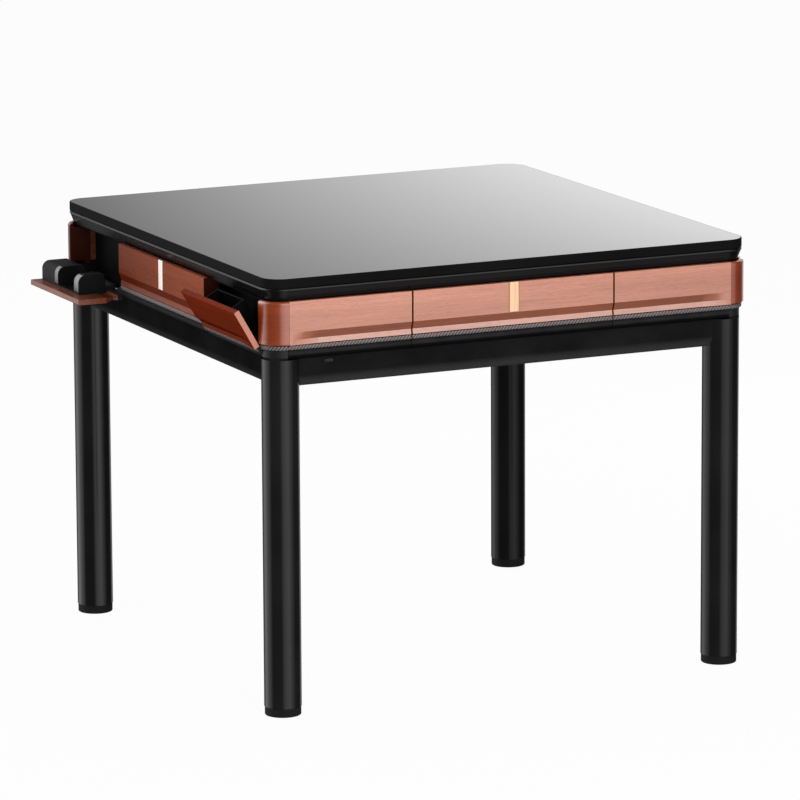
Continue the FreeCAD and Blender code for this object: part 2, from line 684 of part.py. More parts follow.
def corner_post():
    radius = FASCIA_OUTER - CORNER_AXIS
    shell = turned([(radius - POST_SHELL, FASCIA_BOTTOM), (radius, FASCIA_BOTTOM, POST_BOTTOM_ROUND),
                    (radius, FASCIA_TOP, POST_TOP_ROUND), (radius - POST_SHELL, FASCIA_TOP, POST_BACK_ROUND)],
                   (CORNER_AXIS, -CORNER_AXIS), 90.0)
    core = turned(rectangle((0.0, POST_CORE_RADIUS), (FASCIA_BOTTOM, TOP_FLANGE_BOTTOM)),
                  (CORNER_AXIS, -CORNER_AXIS), 90.0)
    reach = radius - POST_SHELL / 2.0
    web_z = (FASCIA_BOTTOM + POST_WEB_INSET, TOP_FLANGE_BOTTOM - POST_WEB_INSET)
    web_a = side_block((CORNER_AXIS, CORNER_AXIS + reach), (CORNER_AXIS, CORNER_AXIS + POST_WEB), web_z)
    web_b = side_block((CORNER_AXIS, CORNER_AXIS + POST_WEB), (CORNER_AXIS, CORNER_AXIS + reach), web_z)
    return fused(shell, core, web_a, web_b)


def corner_base():
    """Block between leg and post that carries the ends of two hinge pins."""
    ring = BAND_OUTER - CORNER_AXIS
    base = turned([(0.0, PLATE_TOP), (BASE_RADIUS, PLATE_TOP, BASE_ROUND), (BASE_RADIUS, BAND_BOTTOM),
                   (ring, BAND_BOTTOM, BAND_ROUND), (ring, FASCIA_BOTTOM), (0.0, FASCIA_BOTTOM)],
                  (CORNER_AXIS, -CORNER_AXIS), 90.0)
    seat = PIN_RADIUS + PIN_SEAT_PLAY
    bore_a = side_rod(seat, (CORNER_AXIS - PAST, CORNER_AXIS + PIN_HOLD), PIVOT_OUT, PIVOT_HEIGHT)
    bore_b = Part.makeCylinder(seat, PIN_HOLD + PAST, V(PIVOT_OUT, PAST - CORNER_AXIS, PIVOT_HEIGHT),
                               V(0, -1, 0))
    room = upright_rod(BOLT_HEAD_ROOM, (PLATE_TOP - PAST, PLATE_TOP + BOLT_HEAD_HEIGHT + PAST),
                       (LEG_AXIS, -LEG_AXIS))
    return base.cut([bore_a, bore_b, room])


def corner_bracket():
    """Plate over the leg with the square upright that carries the top frame."""
    inner, outer = PLATE_INNER, PLATE_OUTER
    z = (LEG_TOP, PLATE_TOP)
    plate = plan_prism(rectangle((inner, outer), (-outer, -inner), PLATE_ROUND), z)
    nose = turned(rectangle((0.0, BASE_RADIUS), z), (CORNER_AXIS, -CORNER_AXIS), 90.0)
    span = (UPRIGHT_INNER, UPRIGHT_OUTER)
    wall = TUBE_WALL
    outside = plan_prism(rectangle(span, (-span[1], -span[0]), TUBE_ROUND), (PLATE_TOP, TOP_RAIL_BOTTOM))
    inside = plan_prism(rectangle((span[0] + wall, span[1] - wall), (wall - span[1], -wall - span[0]),
                                  TUBE_INNER_ROUND), (PLATE_TOP, TOP_RAIL_BOTTOM))
    hole = upright_rod(BOLT_RADIUS + BOLT_HOLE_PLAY, z, (LEG_AXIS, -LEG_AXIS))
    return fused(plate, nose, outside.cut(inside)).cut(hole)


def leg():
    outline = [(LEG_RADIUS - LEG_WALL, FOOT_HEIGHT), (LEG_RADIUS, FOOT_HEIGHT), (LEG_RADIUS, LEG_TOP),
               (BOLT_RADIUS + BOLT_HOLE_PLAY, LEG_TOP), (BOLT_RADIUS + BOLT_HOLE_PLAY, LEG_TOP - LEG_CAP),
               (LEG_RADIUS - LEG_WALL, LEG_TOP - LEG_CAP)]
    return turned(outline, (LEG_AXIS, -LEG_AXIS))


def foot_cap():
    """Moulded foot: a tread under the tube and a ribbed cup pushed up into it."""
    plug = LEG_RADIUS - LEG_WALL - PART_GAP / 2.0
    rise = FOOT_HEIGHT + FOOT_PLUG
    outline = [(0.0, 0.0), (FOOT_RADIUS, 0.0, FOOT_ROUND), (FOOT_RADIUS, FOOT_HEIGHT), (plug, FOOT_HEIGHT),
               (plug, rise), (plug - FOOT_WALL, rise), (plug - FOOT_WALL, FOOT_HEIGHT / 2.0),
               (0.0, FOOT_HEIGHT / 2.0)]
    return turned(outline, (LEG_AXIS, -LEG_AXIS))


def hexagon(flats, z, middle):
    radius = flats / math.sqrt(3.0)
    outline = [(middle[0] + radius * math.cos(math.radians(60.0 * i)),
                middle[1] + radius * math.sin(math.radians(60.0 * i))) for i in range(6)]
    return plan_prism(outline, z)


def leg_bolt():
    """Bolt down through bracket and leg cap, and its nut inside the leg."""
    middle = (LEG_AXIS, -LEG_AXIS)
    head = hexagon(BOLT_HEAD_FLATS, (PLATE_TOP, PLATE_TOP + BOLT_HEAD_HEIGHT), middle)
    shank = upright_rod(BOLT_RADIUS, (PLATE_TOP - BOLT_LENGTH, PLATE_TOP), middle)
    under = LEG_TOP - LEG_CAP
    nut = hexagon(BOLT_HEAD_FLATS, (under - NUT_HEIGHT, under), middle)
    nut = nut.cut(upright_rod(BOLT_RADIUS + THREAD_PLAY, (under - NUT_HEIGHT, under), middle))
    return [fused(head, shank), nut]


# ---- chassis, aprons, liner ----

def chassis_tube():
    z = (TUBE_BOTTOM, LEG_TOP)
    d = (TUBE_OUTER - TUBE_WIDTH, TUBE_OUTER)
    u = (-TUBE_HALF_LENGTH, TUBE_HALF_LENGTH)
    wall = TUBE_WALL
    outside = side_prism(rectangle(d, z, TUBE_ROUND), u)
    inside = side_prism(rectangle((d[0] + wall, d[1] - wall), (z[0] + wall, z[1] - wall),
                                  TUBE_INNER_ROUND), u)
    return outside.cut(inside)


def top_rail():
    """Mitred rail under board and rim: a bar with a wide flange."""
    section = [(UPRIGHT_INNER, TOP_RAIL_BOTTOM), (UPRIGHT_OUTER, TOP_RAIL_BOTTOM),
               (UPRIGHT_OUTER, TOP_FLANGE_BOTTOM), (TOP_FLANGE_OUTER, TOP_FLANGE_BOTTOM),
               (TOP_FLANGE_OUTER, RIM_BOTTOM), (UPRIGHT_INNER, RIM_BOTTOM)]
    rail = side_prism(section, (-TOP_FLANGE_OUTER, TOP_FLANGE_OUTER))
    z = (TOP_RAIL_BOTTOM - PAST, RIM_BOTTOM + PAST)
    rounded = plan_prism(square(TOP_FLANGE_OUTER, TOP_FLANGE_OUTER - CORNER_AXIS), z)
    return rail.common(mitre_wedge(PART_GAP / 2.0, z)).common(rounded)


def leg_room(z):
    """Space taken by the two legs at the ends of a side, with clearance."""
    radius = LEG_RADIUS + LEG_CLEARANCE
    return [upright_rod(radius, z, (way * LEG_AXIS, -LEG_AXIS)) for way in (-1.0, 1.0)]


def apron():
    inner = APRON_OUTER - APRON_WALL
    lip = TUBE_OUTER - TUBE_WIDTH
    lip_top = BOTTOM_TOP + APRON_WALL
    seam = APRON_OUTER - APRON_BEND
    section = [(APRON_OUTER, LEG_TOP, APRON_TOP_ROUND), (APRON_OUTER, APRON_BOTTOM, APRON_BEND),
               (seam, APRON_BOTTOM), (seam, BOTTOM_TOP), (lip, BOTTOM_TOP), (lip, lip_top),
               (inner, lip_top, APRON_BEND - APRON_WALL), (inner, LEG_TOP - APRON_WALL),
               (TUBE_OUTER, LEG_TOP - APRON_WALL), (TUBE_OUTER, LEG_TOP)]
    sheet = side_prism(section, (-LEG_AXIS, LEG_AXIS))
    return sheet.cut(leg_room((APRON_BOTTOM - PAST, LEG_TOP + PAST)))


def switch_span(play):
    half_length = SWITCH_LENGTH / 2.0 - play
    half_width = SWITCH_WIDTH / 2.0 - play
    return ((SWITCH_MIDDLE - half_length, SWITCH_MIDDLE + half_length),
            (SWITCH_HEIGHT - half_width, SWITCH_HEIGHT + half_width))


def switch_pivot(play):
    """Upright pin through the switch's middle, in the thickness of the apron."""
    reach = SWITCH_WIDTH / 2.0 + SWITCH_PIVOT_REACH + play
    z = (SWITCH_HEIGHT - reach, SWITCH_HEIGHT + reach)
    return upright_rod(SWITCH_PIVOT_RADIUS + play, z, (SWITCH_MIDDLE, APRON_WALL / 2.0 - APRON_OUTER))


def front_apron():
    u, z = switch_span(0.0)
    hole = side_block(u, (APRON_OUTER - 2.0 * APRON_WALL, APRON_OUTER + PAST), z)
    return apron().cut([hole, switch_pivot(SWITCH_PIVOT_PLAY)])


def rocker_switch():
    u, z = switch_span(SWITCH_PLAY)
    d = (APRON_OUTER - SWITCH_DEPTH, APRON_OUTER + SWITCH_PROUD)
    outline = [(u[0], -d[0]), (u[0], -d[1], SWITCH_EDGE_ROUND), (SWITCH_MIDDLE, SWITCH_DIP - d[1]),
               (u[1], -d[1], SWITCH_EDGE_ROUND), (u[1], -d[0])]
    return fused(plan_prism(outline, z), switch_pivot(0.0))


def inlet_outline(grow):
    half = INLET_WIDTH / 2.0 + grow
    tall = INLET_TALL / 2.0 + grow
    x, y = INLET_MIDDLE
    return rectangle((x - half, x + half), (y - tall, y + tall), INLET_ROUND + grow)


def power_inlet():
    """Mains inlet under the plate: flanged housing, open socket and three flat contacts."""
    mouth = APRON_BOTTOM - INLET_WALL
    floor = mouth + INLET_SOCKET_DEPTH
    flange = plan_prism(inlet_outline(INLET_FLANGE), (mouth, APRON_BOTTOM))
    housing = plan_prism(inlet_outline(0.0), (APRON_BOTTOM, APRON_BOTTOM + INLET_DEPTH))
    socket = plan_prism(inlet_outline(-INLET_WALL), (mouth - PAST, floor))
    body = fused(flange, housing).cut(socket)
    half_x, half_y = CONTACT_SIZE[0] / 2.0, CONTACT_SIZE[1] / 2.0
    for place in (-1.0, 0.0, 1.0):
        x = INLET_MIDDLE[0] + place * CONTACT_PITCH
        y = INLET_MIDDLE[1] + (half_y if place == 0.0 else -half_y)
        contact = plan_prism(rectangle((x - half_x, x + half_x), (y - half_y, y + half_y)),
                             (floor - CONTACT_LENGTH, floor + PAST))
        body = fused(body, contact)
    return body


def bottom_plate():
    half = APRON_OUTER - APRON_BEND - PART_GAP
    z = (APRON_BOTTOM, BOTTOM_TOP)
    plate = plan_prism(square(half), z)
    room = [around(cut, angle) for angle in (0.0, 180.0) for cut in leg_room(z)]
    vents = []
    for i in range(VENT_COUNT):
        y = VENT_MIDDLE[1] + (i - (VENT_COUNT - 1) / 2.0) * VENT_PITCH
        x = (VENT_MIDDLE[0] - VENT_LENGTH / 2.0, VENT_MIDDLE[0] + VENT_LENGTH / 2.0)
        vents.append(plan_prism(rectangle(x, (y - VENT_WIDTH / 2.0, y + VENT_WIDTH / 2.0),
                                          VENT_END_ROUND), z))
    inlet = plan_prism(inlet_outline(PART_GAP), z)
    return plate.cut(room + vents + [inlet])


def compartment_liner():
    """Moulded floor and back wall behind one side's door and flap."""
    floor_end = PLATE_INNER - PART_GAP
    back = LINER_BACK - LINER_WALL
    floor_top = LEG_TOP + LINER_FLOOR
    bent = side_prism([(back, LEG_TOP), (LINER_FRONT, LEG_TOP), (LINER_FRONT, floor_top),
                       (LINER_BACK, floor_top), (LINER_BACK, TOP_FLANGE_BOTTOM),
                       (back, TOP_FLANGE_BOTTOM)], (-floor_end, floor_end))
    wall = side_block((-LINER_END, LINER_END), (back, LINER_BACK), (PLATE_TOP, TOP_FLANGE_BOTTOM))
    return fused(bent, wall)


# ---- machine inside ----

def lift_rods(radius, z):
    return [upright_rod(radius, z, (way * LIFT_ROD_AT, -SLOT_MIDDLE)) for way in (-1.0, 1.0)]


def tile_lift():
    """Platform that closes a tile slot, on two guide rods."""
    half = SLOT_WIDTH / 2.0 - LIFT_PLAY
    end = SLOT_HALF_LENGTH - LIFT_PLAY
    plate = side_block((-end, end), (SLOT_MIDDLE - half, SLOT_MIDDLE + half), (LIFT_BOTTOM, CLOTH_TOP))
    return fused(plate, *lift_rods(LIFT_ROD_RADIUS, (ROD_BOTTOM, LIFT_BOTTOM)))


def lift_guides():
    """Sleeves on the bottom plate in which one lift's rods run."""
    half = GUIDE_SIDE / 2.0
    z = (BOTTOM_TOP, GUIDE_TOP)
    bores = lift_rods(LIFT_ROD_RADIUS + LIFT_ROD_PLAY, z)
    sleeves = []
    for way, bore in zip((-1.0, 1.0), bores):
        u = way * LIFT_ROD_AT
        sleeve = plan_prism(rectangle((u - half, u + half), (-SLOT_MIDDLE - half, half - SLOT_MIDDLE),
                                      GUIDE_ROUND), z)
        sleeves.append(sleeve.cut(bore))
    return sleeves


def button_places():
    angle = math.radians(BUTTON_DIRECTION)
    return [(way * BUTTON_AT * math.cos(angle), -way * BUTTON_AT * math.sin(angle)) for way in (1.0, -1.0)]


def dial_body():
    """Round console on the cloth: flange, skirt, dice well and two button holes."""
    low = CLOTH_TOP - DIAL_DEPTH
    deck = DIAL_TOP - DIAL_DECK
    well_floor = DIAL_TOP - DICE_WELL_DEPTH
    well_wall = DICE_WELL_RADIUS + DIAL_WALL
    outline = [(0.0, low), (well_wall, low), (well_wall, deck), (DIAL_BODY_RADIUS - DIAL_WALL, deck),
               (DIAL_BODY_RADIUS - DIAL_WALL, low), (DIAL_BODY_RADIUS, low),
               (DIAL_BODY_RADIUS, CLOTH_TOP), (DIAL_FLANGE_RADIUS, CLOTH_TOP),
               (DIAL_FLANGE_RADIUS, DIAL_TOP, DIAL_EDGE_ROUND), (DICE_WELL_RADIUS, DIAL_TOP),
               (DICE_WELL_RADIUS, well_floor), (0.0, well_floor)]
    holes = [upright_rod(BUTTON_RADIUS + BUTTON_PLAY, (low, DIAL_TOP + PAST), place)
             for place in button_places()]
    return turned(outline).cut(holes)


def dice_dome():
    """Clear shallow dome over the dice."""
    def cap(radius, rise, bottom):
        sphere = (radius * radius + rise * rise) / (2.0 * rise)
        ball = Part.makeSphere(sphere, V(0, 0, bottom + rise - sphere))
        return ball.common(upright_rod(radius + PAST, (bottom, bottom + rise + PAST)))

    outer = cap(DOME_RADIUS, DOME_RISE, DIAL_TOP)
    inner = cap(DOME_RADIUS - DOME_WALL, DOME_RISE - DOME_WALL, DIAL_TOP)
    return outer.cut(inner)


def dice():
    floor = DIAL_TOP - DICE_WELL_DEPTH
    cubes = []
    for x, y, turn in DIE_PLACES:
        half = DIE_SIDE / 2.0
        cube = Part.makeBox(DIE_SIDE, DIE_SIDE, DIE_SIDE, V(-half, -half, floor))
        cube = cube.makeFillet(DIE_ROUND, cube.Edges)
        cube.rotate(V(0, 0, 0), V(0, 0, 1), turn)
        cube.translate(V(x, y, 0))
        cubes.append(cube)
    return cubes


def start_button(place):
    deck = DIAL_TOP - DIAL_DECK
    flange_top = deck - BUTTON_PLAY
    flange = BUTTON_RADIUS + BUTTON_FLANGE
    outline = [(0.0, flange_top - BUTTON_FLANGE), (flange, flange_top - BUTTON_FLANGE), (flange, flange_top),
               (BUTTON_RADIUS, flange_top), (BUTTON_RADIUS, DIAL_TOP + BUTTON_RISE, BUTTON_EDGE_ROUND),
               (0.0, DIAL_TOP + BUTTON_RISE)]
    return turned(outline, place)


def shuffling_drum():
    """Dished drum with a belt ring under its floor and a bored hub."""
    bore = SPINDLE_RADIUS + SPINDLE_PLAY
    floor_top = DRUM_FLOOR + DRUM_FLOOR_THICKNESS
    ring = (DRUM_PULLEY_RADIUS - DRUM_PULLEY_WALL, DRUM_PULLEY_RADIUS)
    ring_low = DRUM_FLOOR - DRIVE_AIR - PULLEY_HEIGHT
    outline = [(bore, DRUM_HUB_BOTTOM), (DRUM_HUB_RADIUS, DRUM_HUB_BOTTOM), (DRUM_HUB_RADIUS, DRUM_FLOOR),
               (ring[0], DRUM_FLOOR), (ring[0], ring_low), (ring[1], ring_low), (ring[1], DRUM_FLOOR),
               (DRUM_RADIUS, DRUM_FLOOR), (DRUM_RADIUS, DRUM_TOP), (DRUM_RADIUS - DRUM_WALL, DRUM_TOP),
               (DRUM_RADIUS - DRUM_WALL, floor_top + DRUM_COVE),
               (DRUM_RADIUS - DRUM_WALL - DRUM_COVE, floor_top),
               (DRUM_HUB_RADIUS, floor_top), (DRUM_HUB_RADIUS, DRUM_HUB_TOP), (bore, DRUM_HUB_TOP)]
    return turned(outline)


def drum_spindle():
    """Fixed spindle with its foot, and the collar that keeps the drum on."""
    shoulder_top = DRUM_HUB_BOTTOM - PART_GAP
    collar_low = DRUM_HUB_TOP + PART_GAP
    top = collar_low + COLLAR_THICKNESS
    foot_top = BOTTOM_TOP + SPINDLE_FLANGE
    spindle = turned([(0.0, BOTTOM_TOP), (SPINDLE_FLANGE_RADIUS, BOTTOM_TOP),
                      (SPINDLE_FLANGE_RADIUS, foot_top, SPINDLE_FLANGE_ROUND), (SPINDLE_SHOULDER, foot_top),
                      (SPINDLE_SHOULDER, shoulder_top), (SPINDLE_RADIUS, shoulder_top),
                      (SPINDLE_RADIUS, top, SPINDLE_TIP_ROUND), (0.0, top)])
    collar = turned(rectangle((SPINDLE_RADIUS + THREAD_PLAY, SPINDLE_SHOULDER), (collar_low, top)))
    return [spindle, collar]


def motor_middle():
    angle = math.radians(MOTOR_DIRECTION)
    return (MOTOR_DISTANCE * math.cos(angle), MOTOR_DISTANCE * math.sin(angle))


def drive_heights():
    """Bottom and top of the motor's pulley, under the drum's floor."""
    top = DRUM_FLOOR - DRIVE_AIR
    return (top - PULLEY_HEIGHT, top)


def drum_motor():
    middle = motor_middle()
    foot = MOTOR_FOOT / 2.0
    foot_top = BOTTOM_TOP + MOTOR_FOOT_THICKNESS
    can_top = foot_top + MOTOR_HEIGHT
    boss_top = drive_heights()[0] - PART_GAP
    base = plan_prism(rectangle((middle[0] - foot, middle[0] + foot), (middle[1] - foot, middle[1] + foot),
                                GUIDE_ROUND), (BOTTOM_TOP, foot_top))
    can = turned([(0.0, foot_top), (MOTOR_RADIUS, foot_top), (MOTOR_RADIUS, can_top, MOTOR_ROUND),
                  (MOTOR_BOSS_RADIUS, can_top), (MOTOR_BOSS_RADIUS, boss_top), (0.0, boss_top)], middle)
    bore = upright_rod(MOTOR_SHAFT_RADIUS + SPINDLE_PLAY, (foot_top + PART_GAP, boss_top), middle)
    return fused(base, can).cut(bore)


def motor_pulley():
    """Flanged pulley with the motor's shaft."""
    low, high = drive_heights()
    rim = PULLEY_RADIUS + PULLEY_FLANGE
    side = PULLEY_FLANGE_THICKNESS
    foot = BOTTOM_TOP + MOTOR_FOOT_THICKNESS + 2.0 * PART_GAP
    outline = [(0.0, foot), (MOTOR_SHAFT_RADIUS, foot), (MOTOR_SHAFT_RADIUS, low), (rim, low),
               (rim, low + side), (PULLEY_RADIUS, low + side), (PULLEY_RADIUS, high - side),
               (rim, high - side), (rim, high), (0.0, high)]
    return turned(outline, motor_middle())


def belt_loop(extra):
    """Outline of an open belt round drum ring and pulley, extra outside both."""
    big = DRUM_PULLEY_RADIUS + extra
    small = PULLEY_RADIUS + extra
    lean = math.acos((big - small) / MOTOR_DISTANCE)
    direction = V(math.cos(lean), math.sin(lean), 0)
    mirror = V(direction.x, -direction.y, 0)
    away = V(MOTOR_DISTANCE, 0, 0)
    long_way = Part.Arc(direction * big, V(-big, 0, 0), mirror * big).toShape()
    short_way = Part.Arc(away + mirror * small, V(MOTOR_DISTANCE + small, 0, 0), away + direction * small)
    edges = [long_way, Part.makeLine(mirror * big, away + mirror * small), short_way.toShape(),
             Part.makeLine(away + direction * small, direction * big)]
    return Part.Face(Part.Wire(edges))


def drum_belt():
    low, high = drive_heights()
    start = (low + high - BELT_WIDTH) / 2.0
    loop = belt_loop(BELT_GAP + BELT_THICKNESS).cut(belt_loop(BELT_GAP))
    belt = loop.extrude(V(0, 0, BELT_WIDTH))
    belt.translate(V(0, 0, start))
    return around(belt, MOTOR_DIRECTION)


def control_box():
    """Electronics housing on the bottom plate with a stepped lid."""
    x = (BOX_MIDDLE[0] - BOX_SIZE[0] / 2.0, BOX_MIDDLE[0] + BOX_SIZE[0] / 2.0)
    y = (BOX_MIDDLE[1] - BOX_SIZE[1] / 2.0, BOX_MIDDLE[1] + BOX_SIZE[1] / 2.0)
    top = BOTTOM_TOP + BOX_HEIGHT
    box = plan_prism(rectangle(x, y, BOX_ROUND), (BOTTOM_TOP, top - BOX_LID))
    step = BOX_LID_STEP
    lid = plan_prism(rectangle((x[0] + step, x[1] - step), (y[0] + step, y[1] - step), BOX_ROUND - step),
                     (top - BOX_LID, top))
    return fused(box, lid)


# ---- the set of pieces ----

def save_cover():
    save("dining_cover", dining_cover())
    save("cover_edge_band", cover_edge_band())
    save("cover_locators", cover_locators())


def save_fixed_repeats():
    """Pieces that repeat at every side or corner and do not move."""
    every_side = list(SIDES.values())
    every_corner = list(CORNERS.values())
    rim = [around(piece, angle) for angle in every_side for piece in (rim_rail(), rim_corner())]
    save("rim_frame", rim)
    save("corner_posts", [around(corner_post(), angle) for angle in every_corner])
    save("corner_bases", [around(corner_base(), angle) for angle in every_corner])
    save("corner_brackets", [around(corner_bracket(), angle) for angle in every_corner])
    save("foot_caps", [around(foot_cap(), angle) for angle in every_corner])
    save("leg_bolts", [around(piece, angle) for angle in every_corner for piece in leg_bolt()])
    save("chassis_tubes", [around(chassis_tube(), angle) for angle in every_side])
    save("top_frame", [around(top_rail(), angle) for angle in every_side])
    save("compartment_liners", [around(compartment_liner(), angle) for angle in every_side])
    save("middle_strips", [around(middle_strip(), angle) for angle in every_side])
    pins = [hinge_pin(), hinge_pin().mirror(V(0, 0, 0), V(1, 0, 0))]
    save("hinge_pins", [around(pin, angle) for angle in every_side for pin in pins])
    for name, angle in CORNERS.items():
        save("leg_" + name, around(leg(), angle))


def save_aprons():
    sheets = {name: apron() for name in SIDES}
    sheets["front"] = front_apron()
    save("aprons", [around(sheets[name], SIDES[name]) for name in SIDES])


def save_side(name, angle):
    door_turn = DOOR_OPEN_DEGREES if name == OPEN_SIDE else 0.0
    flap_turn = FLAP_OPEN_DEGREES if name == OPEN_SIDE else 0.0
    save("middle_panel_" + name, around(middle_panel(), angle))
    save("chip_door_" + name, around(opened(chip_door(), door_turn), angle))
    save("chip_tray_" + name, around(opened(chip_tray(), door_turn), angle))
    save("cup_flap_" + name, around(opened(cup_flap(), flap_turn), angle))
    save("cup_cradle_" + name, around(opened(cup_cradle(), flap_turn), angle))
    save("tile_lift_" + name, around(tile_lift(), angle))


def save_machine():
    save("bottom_plate", bottom_plate())
    save("table_board", surface_sheet((RIM_BOTTOM, BOARD_TOP)))
    save("playing_cloth", surface_sheet((BOARD_TOP, CLOTH_TOP)))
    save("lift_guides", [around(sleeve, angle) for angle in SIDES.values() for sleeve in lift_guides()])
    save("dial_body", dial_body())
    save("dice_dome", dice_dome())
    save("dice", dice())
    for name, place in zip(("a", "b"), button_places()):
        save("start_button_" + name, start_button(place))
    save("shuffling_drum", shuffling_drum())
    save("drum_spindle", drum_spindle())
    save("drum_motor", drum_motor())
    save("motor_pulley", motor_pulley())
    save("drum_belt", drum_belt())
    save("control_box", control_box())
    save("rocker_switch", rocker_switch())
    save("power_inlet", power_inlet())


os.makedirs("parts", exist_ok=True)
save_cover()
save_fixed_repeats()
save_aprons()
for side_name, side_angle in SIDES.items():
    save_side(side_name, side_angle)
save_machine()
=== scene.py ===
import bpy
import bmesh
import json
import math
from mathutils import Matrix, Vector


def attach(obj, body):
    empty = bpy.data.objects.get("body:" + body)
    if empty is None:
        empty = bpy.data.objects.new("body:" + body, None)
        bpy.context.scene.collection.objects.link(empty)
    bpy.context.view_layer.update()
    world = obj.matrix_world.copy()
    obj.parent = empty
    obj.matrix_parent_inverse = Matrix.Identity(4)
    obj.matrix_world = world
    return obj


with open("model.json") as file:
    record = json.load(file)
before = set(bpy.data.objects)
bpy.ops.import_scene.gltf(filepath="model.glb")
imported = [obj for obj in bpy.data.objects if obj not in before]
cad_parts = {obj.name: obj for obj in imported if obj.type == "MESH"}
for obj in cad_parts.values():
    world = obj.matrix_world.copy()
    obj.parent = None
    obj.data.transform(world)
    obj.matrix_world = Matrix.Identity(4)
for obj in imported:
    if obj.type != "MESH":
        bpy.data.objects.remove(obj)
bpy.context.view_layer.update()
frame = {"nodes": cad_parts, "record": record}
NODES = frame["nodes"]

MM = 0.001
# degrees that turn the front of the table to each side
SIDE_TURNS = {"front": 0.0, "right": 90.0, "back": 180.0, "left": 270.0}

# ---- camera, solved from the table's edges ----
CAMERA_PLACE = Vector((-4.6432, -9.90513, 2.6822))
CAMERA_RIGHT = Vector((0.90505597, -0.4252671, -0.00464522))
CAMERA_UP = Vector((0.08920421, 0.17914284, 0.97977061))
CAMERA_AHEAD = Vector((0.41583205, 0.88716162, -0.20006991))
CAMERA_REACH = 100.0
FOCAL_PIXELS = 6020.6
IMAGE_PIXELS = 800.0
SENSOR_MM = 36.0

# ---- hinge line and fascia, in metres; distances outward are from the table's middle ----
PIVOT_OUT = 0.4635
PIVOT_HEIGHT = 0.655
CORNER_AXIS = 0.437         # axis of the rounding of a corner
PANEL_JOINT = 0.199         # joint beside the middle panel, from the middle of the side
FASCIA_INNER = 0.4685       # the panels' inner face, which a flap's cradle stands on
FASCIA_BOTTOM = 0.6723      # lower edge of the veneer
BAND_OUT = 0.474            # face, lower and upper edge of the rope band below the veneer
BAND_LOW = 0.6627
BAND_HIGH = 0.6712
DOOR_OPEN = math.radians(30.0)
FLAP_OPEN = math.radians(90.0)


# ---------------------------------------------------------------- node helpers

def new_material(name):
    material = bpy.data.materials.new(name)
    material.use_nodes = True
    material.node_tree.nodes.clear()
    return material, material.node_tree


def add_node(tree, kind, **values):
    node = tree.nodes.new(kind)
    for key, value in values.items():
        setattr(node, key, value)
    return node


def set_surface(tree, socket, kind="ShaderNodeOutputMaterial"):
    """Give the tree an output that shows a shader socket."""
    out = tree.nodes.new(kind)
    tree.links.new(socket, out.inputs["Surface"])


def shader_node(tree, **sockets):
    """Principled shader with constants on its sockets, whose names have _ for a space."""
    shader = tree.nodes.new("ShaderNodeBsdfPrincipled")
    for name, value in sockets.items():
        shader.inputs[name.replace("_", " ")].default_value = value
    return shader


def principled(tree, **sockets):
    """Principled shader that is the material's surface."""
    shader = shader_node(tree, **sockets)
    set_surface(tree, shader.outputs["BSDF"])
    return shader


def object_coordinates(tree):
    return tree.nodes.new("ShaderNodeTexCoord").outputs["Object"]


def object_normal(tree):
    return tree.nodes.new("ShaderNodeTexCoord").outputs["Normal"]


def shut_coordinates(tree, swing):
    """Object coordinates with the height counted from the hinge line; a panel of the left side
    that stands open by swing is first turned back to its shut place."""
    hinge = Vector((-PIVOT_OUT, 0.0, PIVOT_HEIGHT)) if swing else Vector((0.0, 0.0, PIVOT_HEIGHT))
    back = Matrix.Rotation(swing, 3, "Y") @ hinge
    turn = add_node(tree, "ShaderNodeMapping", vector_type="POINT")
    turn.inputs["Rotation"].default_value = (0.0, swing, 0.0)
    turn.inputs["Location"].default_value = (hinge.x - back.x, 0.0, -back.z)
    tree.links.new(object_coordinates(tree), turn.inputs["Vector"])
    return turn.outputs["Vector"]


def stretched(tree, vector, scale):
    stretch = add_node(tree, "ShaderNodeMapping", vector_type="POINT")
    stretch.inputs["Scale"].default_value = scale
    tree.links.new(vector, stretch.inputs["Vector"])
    return stretch.outputs["Vector"]


def axis_parts(tree, vector):
    split = tree.nodes.new("ShaderNodeSeparateXYZ")
    tree.links.new(vector, split.inputs["Vector"])
    return split.outputs["X"], split.outputs["Y"], split.outputs["Z"]


def calculated(tree, operation, first, second=None):
    """Result of a Math node; first and second are numbers or sockets."""
    node = add_node(tree, "ShaderNodeMath", operation=operation)
    for socket, value in zip(node.inputs, (first, second)):
        if isinstance(value, float):
            socket.default_value = value
        elif value is not None:
            tree.links.new(value, socket)
    return node.outputs[0]


def between(tree, value, low, high):
    return calculated(tree, "MULTIPLY", calculated(tree, "GREATER_THAN", value, low),
                      calculated(tree, "LESS_THAN", value, high))


def remapped(tree, value, low, high, start=0.0, end=1.0):
    """The value, with its stretch from start to end carried to low to high and held there."""
    node = tree.nodes.new("ShaderNodeMapRange")
    node.inputs["From Min"].default_value = start
    node.inputs["From Max"].default_value = end
    node.inputs["To Min"].default_value = low
    node.inputs["To Max"].default_value = high
    tree.links.new(value, node.inputs["Value"])
    return node.outputs["Result"]


def noise(tree, vector, scale, detail=3.0, roughness=0.55, distortion=0.0):
    node = tree.nodes.new("ShaderNodeTexNoise")
    node.inputs["Scale"].default_value = scale
    node.inputs["Detail"].default_value = detail
    node.inputs["Roughness"].default_value = roughness
    node.inputs["Distortion"].default_value = distortion
    tree.links.new(vector, node.inputs["Vector"])
    return node.outputs["Fac"]


def ramp(tree, factor, stops):
    node = tree.nodes.new("ShaderNodeValToRGB")
    elements = node.color_ramp.elements
    while len(elements) < len(stops):
        elements.new(0.5)
    for element, (position, colour) in zip(elements, stops):
        element.position = position
        element.color = (*colour, 1.0)
    tree.links.new(factor, node.inputs["Fac"])
    return node.outputs["Color"]


